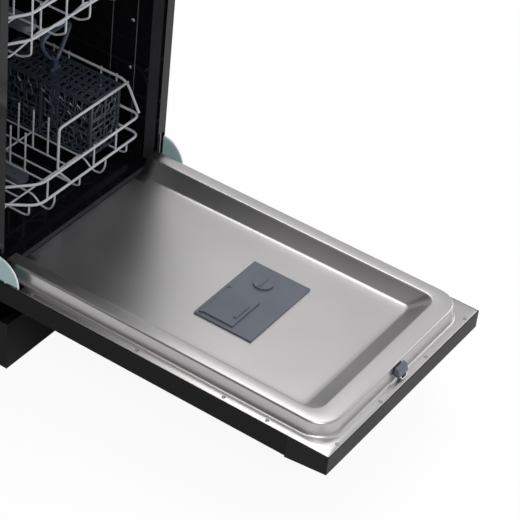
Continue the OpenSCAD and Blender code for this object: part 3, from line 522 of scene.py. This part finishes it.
def lower_rack_rims():
    """The thick wires: two rims, a side wire and the low front, and the loop by the basket."""
    half, top, mid, low = RACK_HALF, TOP_Z, MID_Z, FRONT_LOW_Z
    front, rear, corner_y = RACK_FRONT, RACK_REAR, CORNER_Y
    near = [(-half, rear, top), (-half, corner_y + 30, top), (-half, corner_y + 9, top - 17),
            (-half + 7, corner_y + 1, mid + 14), (CORNER_X[0] - 9, corner_y - 2, mid + 3),
            (CORNER_X[1] + 5, front, mid), (half, front, mid), (half, rear, mid),
            (-half, rear, mid - 1)]
    far = [(-half, rear - 2, top), (half, rear, FAR_TOP_Z), (half, front + 33, FAR_TOP_Z),
           (half, front + 3, mid + 3)]
    side = [(-half, rear, LOW_Z), (-half, corner_y - 6, LOW_Z)]
    front_low = [(-half, corner_y + 5, LOW_Z + 1), (CORNER_X[0], corner_y, low + 6),
                 (CORNER_X[1], front, low), (half, front, low), (half, FOOT_YS[0] + 5, low)]
    back = front + 29.6
    raised = [(half, back, FAR_TOP_Z - 2), (0, back, FAR_TOP_Z - 2), (0, back, low + 8),
              (0, front + 2, low)]
    return [near, far, side, front_low], [raised]


def floor_wire(x):
    """A floor wire from the rear rim to the low front; some dip under the front edge."""
    y = front_at(x)
    dip_z = BASE_Z - (DIP if x in DIPPED_XS else 0)
    return [(x, RACK_REAR, MID_Z), (x, RACK_REAR, BASE_Z), (x, y + 44, BASE_Z),
            (x, y + 28, dip_z), (x, y + 9, dip_z), (x, y, BASE_Z + 4), (x, y, FRONT_LOW_Z)]


def lower_rack_floor():
    """The thin wires: along the floor, across it, and upright between the rims."""
    half, near_z, far_z = RACK_HALF, TOP_Z + 4, FAR_TOP_Z + 4
    paths = [floor_wire(x) for x in FLOOR_XS]
    for y in FOOT_YS:
        paths.append([(-half, y, near_z), (-half, y, FOOT_BEND_Z), (-half + 9, y, CROSS_Z),
                      (half - 9, y, CROSS_Z), (half, y, FOOT_BEND_Z), (half, y, far_z)])
    for y in WHEEL_YS:
        paths.append([(-half, y - 3, LOW_Z), (-half, y - 3, near_z)])
        paths.append([(half, y - 3, MID_Z), (half, y - 3, far_z)])
    for x in FRONT_POST_XS:
        y = front_at(x) + 1
        paths.append([(x, y, FRONT_LOW_Z), (x, y, MID_Z + 4)])
    for x in REAR_POST_XS:
        paths.append([(x, RACK_REAR, MID_Z), (x, RACK_REAR, near_z)])
    return paths


def tine_rows():
    """Rows of upright tines, each row on a wire along the floor."""
    paths = []
    z0 = CROSS_Z + 2 * THIN - 0.3
    for x in TINE_XS:
        for y in TINE_YS:
            paths.append([(x, y, z0), (x, y, z0 + TINE_H)])
        paths.append([(x, FOOT_YS[0] - 3, z0), (x, RACK_REAR - 10, z0)])
    return paths


def lower_rack():
    """The lower rack as four pieces of coated wire."""
    rims, raised = lower_rack_rims()
    dress(wires("lower_rack_rims", rims, THICK, 16), "wire_coat", "lower_rack", ["lower_rack"])
    dress(wires("lower_rack_raised", raised, THICK, 8), "wire_coat", "lower_rack")
    dress(wires("lower_rack_wires", lower_rack_floor(), THIN, 9), "wire_coat", "lower_rack")
    dress(wires("lower_rack_tines", tine_rows(), THIN, 4), "wire_coat", "lower_rack",
          ["plate_tines"])


# Cutlery basket


CUTLERY_W = 80.0
CUTLERY_L = 220.0
CUTLERY_H = 112.0
CUTLERY_X = WHEEL_OUT - WHEEL_W - 5 - CUTLERY_W
CUTLERY_Y = RACK_FRONT + 32.5
CUTLERY_Z = CROSS_Z + THIN + 0.3
CUTLERY_TOP = CUTLERY_Z + CUTLERY_H
CUTLERY_BOX = ((CUTLERY_X, CUTLERY_X + CUTLERY_W), (CUTLERY_Y, CUTLERY_Y + CUTLERY_L))
CUTLERY_MID = (CUTLERY_X + CUTLERY_W / 2, CUTLERY_Y + CUTLERY_L / 2)
RIM_WALL = 2.5
LID_BARS = 17
LID_BAR = 3.2
GRIP_HALF = 3.6


def net_panel(name, length, height, place, cells, seed, bar):
    """A panel of irregular openings: a brick net with its corners shifted, made into bars."""
    rng = random.Random(seed)
    nx, nz = cells
    work = bmesh.new()
    grid = {}
    for j in range(nz + 1):
        for i in range(2 * nx + 1):
            edge = i in (0, 2 * nx) or j in (0, nz)
            jx = 0 if edge else rng.uniform(-0.2, 0.2) * length / nx
            jz = 0 if edge else rng.uniform(-0.25, 0.25) * height / nz
            a = length * i / (2 * nx) + jx
            b = height * j / nz + jz
            grid[i, j] = work.verts.new(place(a, b))
    for j in range(nz):
        for i in range(-(j % 2), 2 * nx, 2):
            lo, hi = max(i, 0), min(i + 2, 2 * nx)
            low = [grid[k, j] for k in range(lo, hi + 1)]
            high = [grid[k, j + 1] for k in range(hi, lo - 1, -1)]
            work.faces.new(low + high)
    mesh = bpy.data.meshes.new(name)
    work.to_mesh(mesh)
    work.free()
    piece = add_object(name, mesh)
    bars = piece.modifiers.new("bars", "WIREFRAME")
    bars.thickness = bar * MM
    bars.offset = 0.0
    bars.use_boundary = True
    bars.use_even_offset = False
    soften = piece.modifiers.new("soften", "BEVEL")
    soften.width = 0.25 * MM
    soften.limit_method = "ANGLE"
    return piece


def basket_sides():
    """Open lattice on the four sides, coarse above and fine below."""
    inset = 1.9
    long, wide = CUTLERY_L - 2 * inset, CUTLERY_W - 2 * inset
    x0, y0, z0 = CUTLERY_X + inset, CUTLERY_Y + inset, CUTLERY_Z + inset
    split = CUTLERY_H * 0.48
    top_h = CUTLERY_H - split - 2 * inset
    long_cells, wide_cells = 11, 4
    walls = [("near", long, lambda a, b: point(x0, y0 + a, z0 + b), long_cells),
             ("far", long, lambda a, b: point(x0 + wide, y0 + a, z0 + b), long_cells),
             ("front", wide, lambda a, b: point(x0 + a, y0, z0 + b), wide_cells),
             ("back", wide, lambda a, b: point(x0 + a, y0 + long, z0 + b), wide_cells)]
    for seed, (name, length, place, cells) in enumerate(walls):
        fine = net_panel("basket_%s_low" % name, length, split, place, (cells + 1, 4), seed, 3.2)
        dress(fine, "cutlery_plastic", "cutlery_basket")
        upper = net_panel("basket_%s_top" % name, length, top_h,
                          lambda a, b, p=place: p(a, b + split), (cells, 3), seed + 9, 3.8)
        dress(upper, "cutlery_plastic", "cutlery_basket")


def basket_frame():
    """Corner ribs and the rims below and above."""
    verts, faces = [], []
    (x0, x1), (y0, y1) = CUTLERY_BOX
    z0, z1 = CUTLERY_Z, CUTLERY_TOP
    mid, rib, post_half, low_rim, high_rim = CUTLERY_MID[0], 6.0, 2.0, 5, 6
    for x in (x0, x1 - rib):
        for i in range(3):
            y = y0 + (CUTLERY_L - rib) * i / 2
            box_into(verts, faces, (x, y, z0), (x + rib, y + rib, z1))
    for y in (y0, y1 - 3):
        box_into(verts, faces, (mid - post_half, y, z0), (mid + post_half, y + 3, z1))
    for z, high in ((z0, low_rim), (z1 - high_rim, high_rim)):
        box_into(verts, faces, (x0, y0, z), (x1, y0 + RIM_WALL, z + high))
        box_into(verts, faces, (x0, y1 - RIM_WALL, z), (x1, y1, z + high))
        box_into(verts, faces, (x0, y0, z), (x0 + RIM_WALL, y1, z + high))
        box_into(verts, faces, (x1 - RIM_WALL, y0, z), (x1, y1, z + high))
    piece = mesh_piece("basket_frame", verts, faces, smooth=False)
    bevel(piece, 1.6)
    dress(piece, "cutlery_plastic", "cutlery_basket", ["cutlery_tub"])


def basket_inside():
    """Four net dividers and the net base."""
    inset = 3
    for k in (-2, -1, 1, 2):
        y = CUTLERY_MID[1] + k * CUTLERY_L / 6
        wall = net_panel("basket_divider_%d" % (k + 3), CUTLERY_W - 2 * inset, CUTLERY_H - 8,
                         lambda a, b, y=y: point(CUTLERY_X + inset + a, y, CUTLERY_Z + inset + b),
                         (4, 5), 40 + k, 2.6)
        dress(wall, "cutlery_plastic", "cutlery_basket")
    base = net_panel("basket_base", CUTLERY_L - 2, CUTLERY_W - 2,
                     lambda a, b: point(CUTLERY_X + 1 + b, CUTLERY_Y + 1 + a, CUTLERY_Z + 1.4),
                     (16, 8), 31, 2.4)
    dress(base, "cutlery_plastic", "cutlery_basket")


def basket_swags():
    """Rails that hang from the middle of each long side round to the other side."""
    inset = 1.8
    (x0, x1), (mid_x, mid) = CUTLERY_BOX[0], CUTLERY_MID
    reach = CUTLERY_L / 2 - inset
    high, drop = CUTLERY_TOP - 7, 34
    paths = []
    for way in (-1, 1):
        side = [(reach * share, high - drop * math.sin(math.pi / 2 * share))
                for share in (0.06, 0.25, 0.45, 0.65, 0.82, 1.0)]
        near = [(x0 + inset, mid + way * along, z) for along, z in side]
        far = [(x1 - inset, mid + way * along, z) for along, z in reversed(side)]
        paths.append(near + [(mid_x, mid + way * reach, high - drop - 2)] + far)
    piece = wires("basket_swags", paths, 1.7, 8)
    dress(piece, "cutlery_plastic", "cutlery_basket")


def basket_lid():
    """Top grid: a spine along the middle and rows of long narrow slots, open at the handle."""
    verts, faces = [], []
    (x0, x1), (y0, y1) = CUTLERY_BOX
    (mid, mid_y), z = CUTLERY_MID, CUTLERY_TOP
    gap_low, gap_high, gap_half = mid_y - 5, mid_y + 5, 22
    for xa, xb in ((x0, x0 + 4), (x1 - 4, x1), (x0 + 19, x0 + 22), (x1 - 22, x1 - 19)):
        box_into(verts, faces, (xa, y0, z), (xb, y1, z + 3))
    for ya, yb in ((y0, gap_low), (gap_high, y1)):
        box_into(verts, faces, (mid - 2.5, ya, z), (mid + 2.5, yb, z + 3.4))
    for i in range(LID_BARS + 1):
        y = y0 + (CUTLERY_L - LID_BAR) * i / LID_BARS
        if gap_low - 2 < y < gap_high:
            spans = ((x0, mid - gap_half), (mid + gap_half, x1))
        else:
            spans = ((x0, x1),)
        for xa, xb in spans:
            box_into(verts, faces, (xa, y, z + 0.2), (xb, y + LID_BAR, z + 2.6))
    piece = mesh_piece("basket_lid", verts, faces, smooth=False)
    bevel(piece, 0.4)
    dress(piece, "cutlery_plastic", "cutlery_basket", ["cutlery_lid"])


def strap(name, path, y, rise, half_widths):
    """A closed band in an upright plane: narrow low down, wide where it is gripped."""
    places = rounded([Vector((x, 0, z)) for x, z in path], 17, 8)[:-1]
    count, sides, thick_half = len(places), 16, 3.3
    verts, faces = [], []
    for i, place in enumerate(places):
        along = (places[(i + 1) % count] - places[i - 1]).normalized()
        out = Vector((-along.z, 0, along.x))
        share = min(1, max(0, (place.z - rise[0]) / (rise[1] - rise[0])))
        wide = half_widths[0] + (half_widths[1] - half_widths[0]) * share ** 2
        for k in range(sides):
            angle = 2 * math.pi * k / sides
            spot = place + out * thick_half * math.sin(angle)
            verts.append(point(spot.x, y + wide * math.cos(angle), spot.z))
    for i in range(count):
        for k in range(sides):
            a, b = i * sides, (i + 1) % count * sides
            n = (k + 1) % sides
            faces.append((a + k, a + n, b + n, b + k))
    return mesh_piece(name, verts, faces)


def basket_handle():
    """Loop handle on a flat centre post."""
    (x, y), low = CUTLERY_MID, CUTLERY_TOP
    top = low + 90
    loop = [(x, low + 19), (x - 24, low + 38), (x - 38, top - 26), (x - 39, top - 13),
            (x - 28, top - 3.6), (x + 20, top - 3.6), (x + 34, top - 12), (x + 29, top - 28),
            (x + 15, low + 38), (x, low + 19)]
    ring = strap("basket_handle_loop", loop, y, (top - 30, top - 6), (4.2, 8.0))
    dress(ring, "handle_plastic", "cutlery_basket", ["cutlery_handle"])
    verts, faces = [], []
    for half, z0, z1 in ((12, CUTLERY_Z + 3, low + 6), (5, low + 5, low + 23)):
        box_into(verts, faces, (x - half, y - GRIP_HALF, z0), (x + half, y + GRIP_HALF, z1))
    post = mesh_piece("basket_handle_grip", verts, faces, smooth=False)
    bevel(post, 2.2, 4)
    dress(post, "handle_plastic", "cutlery_basket")


# Upper rack


UPPER_FLOOR = 532.0
UPPER_HALF = 180.0
UPPER_FRONT = 48.0
UPPER_STEP = 20.0
UPPER_REAR = TUB_REAR - 45
UPPER_RIMS = (UPPER_FLOOR + 38, UPPER_FLOOR + 85, UPPER_FLOOR + 130)
WAVE_YS = range(60, 493, 54)
SHELF_Y = (150, 330)
SHELF_W = 78
SHELF_STEP = 26


def upper_rim(z):
    """A rim with its middle pushed forwards."""
    half, front = UPPER_HALF, UPPER_FRONT
    return [(-half, UPPER_REAR - 60, z), (-half, front, z), (-half + 30, front, z),
            (-half + 64, front - UPPER_STEP, z), (half - 64, front - UPPER_STEP, z),
            (half - 30, front, z), (half, front, z), (half, UPPER_REAR, z),
            (-half, UPPER_REAR, z), (-half, UPPER_REAR - 60.5, z)]


def upper_rack_wires():
    """The thin wires: waves across the floor, tines, side posts and wires along the floor."""
    low, half, wave_z, long_z = UPPER_FLOOR, UPPER_HALF, UPPER_FLOOR + 12, UPPER_FLOOR - 1.5
    wave = [(-half, UPPER_RIMS[0]), (-half + 10, low + 4), (-half + 60, low), (-55, wave_z),
            (0, low), (55, wave_z), (half - 60, low), (half - 10, low + 4),
            (half, UPPER_RIMS[0])]
    paths = [[(x, y, z) for x, z in wave] for y in WAVE_YS]
    for y in WAVE_YS:
        for x in (-53, 53):
            paths.append([(x, y, wave_z), (x, y, wave_z + 50)])
    for y in WAVE_YS[:-1:2]:
        for x in (-half, half):
            paths.append([(x, y + 27, UPPER_RIMS[0]), (x, y + 27, UPPER_RIMS[2])])
    front = UPPER_FRONT - UPPER_STEP
    for x in (-114, -30, 30, 114):
        paths.append([(x, front, UPPER_RIMS[2]), (x, front, low + 10), (x, UPPER_FRONT, long_z),
                      (x, UPPER_REAR, long_z), (x, UPPER_REAR, UPPER_RIMS[2])])
    return paths


def cup_shelf_wires():
    """A frame with six wires across it."""
    x0, z = -UPPER_HALF + 10, UPPER_FLOOR + 82
    x1, (y0, y1) = x0 + SHELF_W, SHELF_Y
    frame_wire = [(x0, y0, z), (x1, y0, z), (x1, y1, z), (x0, y1, z), (x0, y0 + 0.5, z)]
    across = [[(x0, y, z), (x1, y, z)] for y in range(y0 + SHELF_STEP, y1, SHELF_STEP)]
    return [frame_wire] + across


def upper_rack():
    """The upper rack and its cup shelf."""
    rims = wires("upper_rack_rims", [upper_rim(z) for z in UPPER_RIMS], THICK, 12)
    dress(rims, "wire_coat", "upper_rack", ["upper_rack"])
    dress(wires("upper_rack_wires", upper_rack_wires(), THIN, 7), "wire_coat", "upper_rack")
    shelf = wires("cup_shelf_wires", cup_shelf_wires(), THIN, 8)
    dress(shelf, "wire_coat", "cup_shelf", ["cup_shelf"])


# Latch, guards and small parts


SCREW_DOME = [(0.02, 0.01), (0.15, 1.2), (0.8, 1.3), (0.95, 1.9), (0.8, 2.9), (0.1, 3.3),
              (0, 3.3)]
TUB_SCREW = [(0, 0.01), (-0.9, 0.01), (-0.9, 2.4), (-0.3, 3.4), (0, 3.5)]
SCREW_SIDES = 20
FLANGE_SCREWS = [(side * 215.5, u) for side in (-1, 1) for u in (67, 111, 277, 441, 521)]
END_SCREWS = [(x, 630) for x in (-190, -68, 68, 190)]
RIM_SCREW_US = (55, 140)
TUB_SCREWS = ((28, 425), (70, 440), (70, 346))
BEADS = ((60, 240, 770), (111, 240, 780))
GUARD_R = 44.0
GUARD_X = 220.3
GUARD_STEPS = 16


def screw_up(x, u):
    """A screw head that stands upright on the flange."""
    return turned(SCREW_DOME, SCREW_SIDES,
                  lambda along, a, b: point(x + a, b - u, FLANGE_Z + along), closed=False)


def liner_screws():
    """Small screws round the flange and in the rim beside the hinges."""
    verts, faces = [], []
    for x, u in FLANGE_SCREWS + END_SCREWS:
        join_part(verts, faces, screw_up(x, u))
    for side in (-1, 1):
        for u in RIM_SCREW_US:
            centre = (side * RIM_HALF, -u, FLANGE_Z + RIM_H / 2)
            join_part(verts, faces, lathe(SCREW_DOME, centre, side, SCREW_SIDES))
    piece = mesh_piece("liner_screw_heads", verts, faces)
    crease(piece)
    dress(piece, "steel", "door", ["liner_screws"], SCREW_STEEL)


def latch():
    """Faceted latch body with a bright wire loop."""
    u, z, half, loop_half = RIM_END + 6, FLANGE_Z + 7, 13, 8
    section = [(-1.5, -3.5), (5, -3.5), (7, 4), (4, 15), (-2, 18), (-4, 16), (-4, 1)]
    outline = [(-(u + du), z + dz) for du, dz in section]
    body = mesh_piece("latch_body", *prism(outline, (-half, half)), smooth=False)
    bevel(body, 1.2, 3)
    dress(body, "grey_plastic", "latch_hook", ["latch_hook"])
    path = [(-loop_half, -(u + 4), z + 5), (-loop_half, -(u + 9), z - 2.4),
            (loop_half, -(u + 9), z - 2.4), (loop_half, -(u + 4), z + 5)]
    dress(wires("latch_loop", [path], 1.1, 4), "steel", "latch_hook", look=LOOP_STEEL)


def guards():
    """Quarter discs with a pale border, centred on the hinge."""
    turns = [math.radians(90 * i / GUARD_STEPS) for i in range(GUARD_STEPS + 1)]
    arc = [(GUARD_R * math.cos(a), GUARD_R * math.sin(a)) for a in turns]
    outline = [(-0.8, HINGE_Z - 2)] + [(-max(u, 0.8), HINGE_Z + z) for u, z in arc]
    for side in (-1, 1):
        x = side * GUARD_X
        disc = mesh_piece("guard_disc_%d" % (side + 2), *prism(outline, (x - 0.9, x + 0.9)),
                          smooth=False)
        dress(disc, "guard_plastic", "door", ["hinge_guards"] if side < 0 else [])
        rim = [(x, -max(u, 1.6), HINGE_Z + z - 1.6) for u, z in arc]
        border = wires("guard_border_%d" % (side + 2), [rim], 1.4, 2)
        dress(border, "guard_plastic", "door", look=BORDER)


def tub_details():
    """Pressed beads and screws on the tub's side walls; the beads are painted lighter than the
    tub, a painted highlight.
    """
    beads, verts, faces = [], [], []
    for side in (-1, 1):
        x = side * (TUB_HALF - 0.3)
        beads += [[(x, y, low), (x, y, high)] for y, low, high in BEADS]
        for y, z in TUB_SCREWS:
            join_part(verts, faces, lathe(TUB_SCREW, (side * TUB_HALF, y, z), side, SCREW_SIDES))
    dress(wires("tub_beads", beads, 1.2, 2), "tub_sheet", "cabinet", look=BEAD_HIGHLIGHT_SHEET)
    dress(mesh_piece("tub_screws", verts, faces), "steel", "cabinet")


# CAD nodes that stay


# Bevel widths of the nodes whose edges show
KEPT_BEVELS = {"worktop": 2.5, "door_panel": 0.6, "control_fascia": 1.2, "plinth": 0.8,
               "side_panel_left": 0.4, "side_panel_right": 0.4, "dispenser": 0.8,
               "detergent_lid": 0.8, "rinse_cap": 0.8, "wheel_clips": 0.8, "tub": 0.5,
               "upper_rails": 0.5, "lower_spray_arm": 1.6, "upper_spray_arm": 1.6,
               "salt_cap": 0.8, "coarse_filter": 0.5, "upper_feed": 0.6, "feed_pipe": 0.5}


def keep_nodes():
    """Paints the CAD nodes that stay, and rounds the edges of those in sight."""
    for entry in frame["record"]["subparts"]:
        node = NODES[entry["node"]]
        node.data.materials.clear()
        node.data.materials.append(MATERIALS[entry["material_slot"]])
        if entry["node"] in KEPT_BEVELS:
            bevel(node, KEPT_BEVELS[entry["node"]])


# Stage


LAMPS = (("key", (-1.8, -1.6, 3.0), (0, -0.2, 0.3), 2.2, 50),
         ("top", (0.9, 0.6, 3.4), (0, -0.3, 0.2), 2.6, 38),
         ("side", (3.0, -1.6, 1.6), (0, 0, 0.4), 2.0, 18))
FLOOR_HALF = 30.0
WHITE = (1, 1, 1, 1)


def studio_floor():
    """A pale floor that the camera sees almost white and that still takes shadows."""
    mesh = bpy.data.meshes.new("floor")
    corners = [(-FLOOR_HALF, -FLOOR_HALF, 0), (FLOOR_HALF, -FLOOR_HALF, 0),
               (FLOOR_HALF, FLOOR_HALF, 0), (-FLOOR_HALF, FLOOR_HALF, 0)]
    mesh.from_pydata(corners, [], [(0, 1, 2, 3)])
    floor = add_object("floor", mesh)
    material, tree, shader = new_material("floor")
    shader.inputs["Base Color"].default_value = (0.9, 0.9, 0.9, 1)
    shader.inputs["Roughness"].default_value = 0.9
    glow = tree.nodes.new("ShaderNodeEmission")
    glow.inputs["Color"].default_value = WHITE
    path = tree.nodes.new("ShaderNodeLightPath")
    share = tree.nodes.new("ShaderNodeMath")
    share.operation = "MULTIPLY"
    share.inputs[1].default_value = 0.93
    tree.links.new(path.outputs["Is Camera Ray"], share.inputs[0])
    mixed = mix_shaders(tree, share.outputs["Value"], shader.outputs["BSDF"],
                        glow.outputs["Emission"])
    tree.links.new(mixed, tree.nodes["Material Output"].inputs["Surface"])
    mesh.materials.append(material)


def mix_shaders(tree, share, first, second):
    """The second shader by its share, the first for the rest."""
    mix = tree.nodes.new("ShaderNodeMixShader")
    tree.links.new(share, mix.inputs["Fac"])
    tree.links.new(first, mix.inputs[1])
    tree.links.new(second, mix.inputs[2])
    return mix.outputs["Shader"]


def sky():
    """White for the camera; for light and reflections a studio that darkens to the left and
    towards the back."""
    world = bpy.data.worlds.new("studio")
    bpy.context.scene.world = world
    world.use_nodes = True
    tree = world.node_tree
    coords = tree.nodes.new("ShaderNodeTexCoord")
    turn = tree.nodes.new("ShaderNodeVectorMath")
    turn.operation = "DOT_PRODUCT"
    turn.inputs[1].default_value = (-0.62, 0.72, -0.32)
    tree.links.new(coords.outputs["Generated"], turn.inputs[0])
    tone = colour_ramp(tree, turn.outputs["Value"], (0.0, (0.92, 0.93, 0.96)),
                       (0.62, (0.10, 0.095, 0.09)))
    fill = tree.nodes["Background"]
    tree.links.new(tone, fill.inputs["Color"])
    fill.inputs["Strength"].default_value = 0.75
    white = tree.nodes.new("ShaderNodeBackground")
    white.inputs["Color"].default_value = WHITE
    path = tree.nodes.new("ShaderNodeLightPath")
    mixed = mix_shaders(tree, path.outputs["Is Camera Ray"], fill.outputs["Background"],
                        white.outputs["Background"])
    tree.links.new(mixed, tree.nodes["World Output"].inputs["Surface"])


def lamp(name, place, aim, size, power):
    """A round soft lamp, aimed at a place; all in metres and watts."""
    light = bpy.data.lights.new(name, "AREA")
    light.shape = "DISK"
    light.size = size
    light.energy = power
    piece = add_object(name, light)
    piece.location = place
    direction = Vector(aim) - Vector(place)
    piece.rotation_euler = direction.to_track_quat("-Z", "Y").to_euler()


def camera():
    """The photograph's camera, found from the machine's edges in the picture."""
    yaw, pitch, roll = math.radians(59.538), math.radians(38.179), math.radians(6.644)
    focal_px, picture_px = 2089.4, 520.0
    ahead = Vector((math.sin(yaw) * math.cos(pitch), math.cos(yaw) * math.cos(pitch),
                    -math.sin(pitch)))
    level = Vector((math.cos(yaw), -math.sin(yaw), 0))
    upright = level.cross(ahead)
    right = level * math.cos(roll) + upright * math.sin(roll)
    above = upright * math.cos(roll) - level * math.sin(roll)
    data = bpy.data.cameras.new("camera")
    data.sensor_width = 36.0
    data.lens = focal_px / picture_px * data.sensor_width
    data.clip_end = 100.0
    piece = add_object("camera", data)
    turn = Matrix((right, above, -ahead)).transposed()
    place = point(-2226.3, -1659.2, FLANGE_Z + 2118.7)
    piece.matrix_world = Matrix.Translation(place) @ turn.to_4x4()
    bpy.context.scene.camera = piece


def main():
    """Dresses the machine from the door outwards, then lights it."""
    keep_nodes()
    door_liner()
    for index, y in enumerate(WHEEL_YS):
        wheel(index + 1, y)
    lower_rack()
    basket_frame()
    basket_inside()
    basket_sides()
    basket_swags()
    basket_lid()
    basket_handle()
    upper_rack()
    liner_screws()
    latch()
    guards()
    tub_details()
    studio_floor()
    sky()
    for values in LAMPS:
        lamp(*values)
    camera()
    bpy.context.scene.view_settings.view_transform = "Standard"


main()
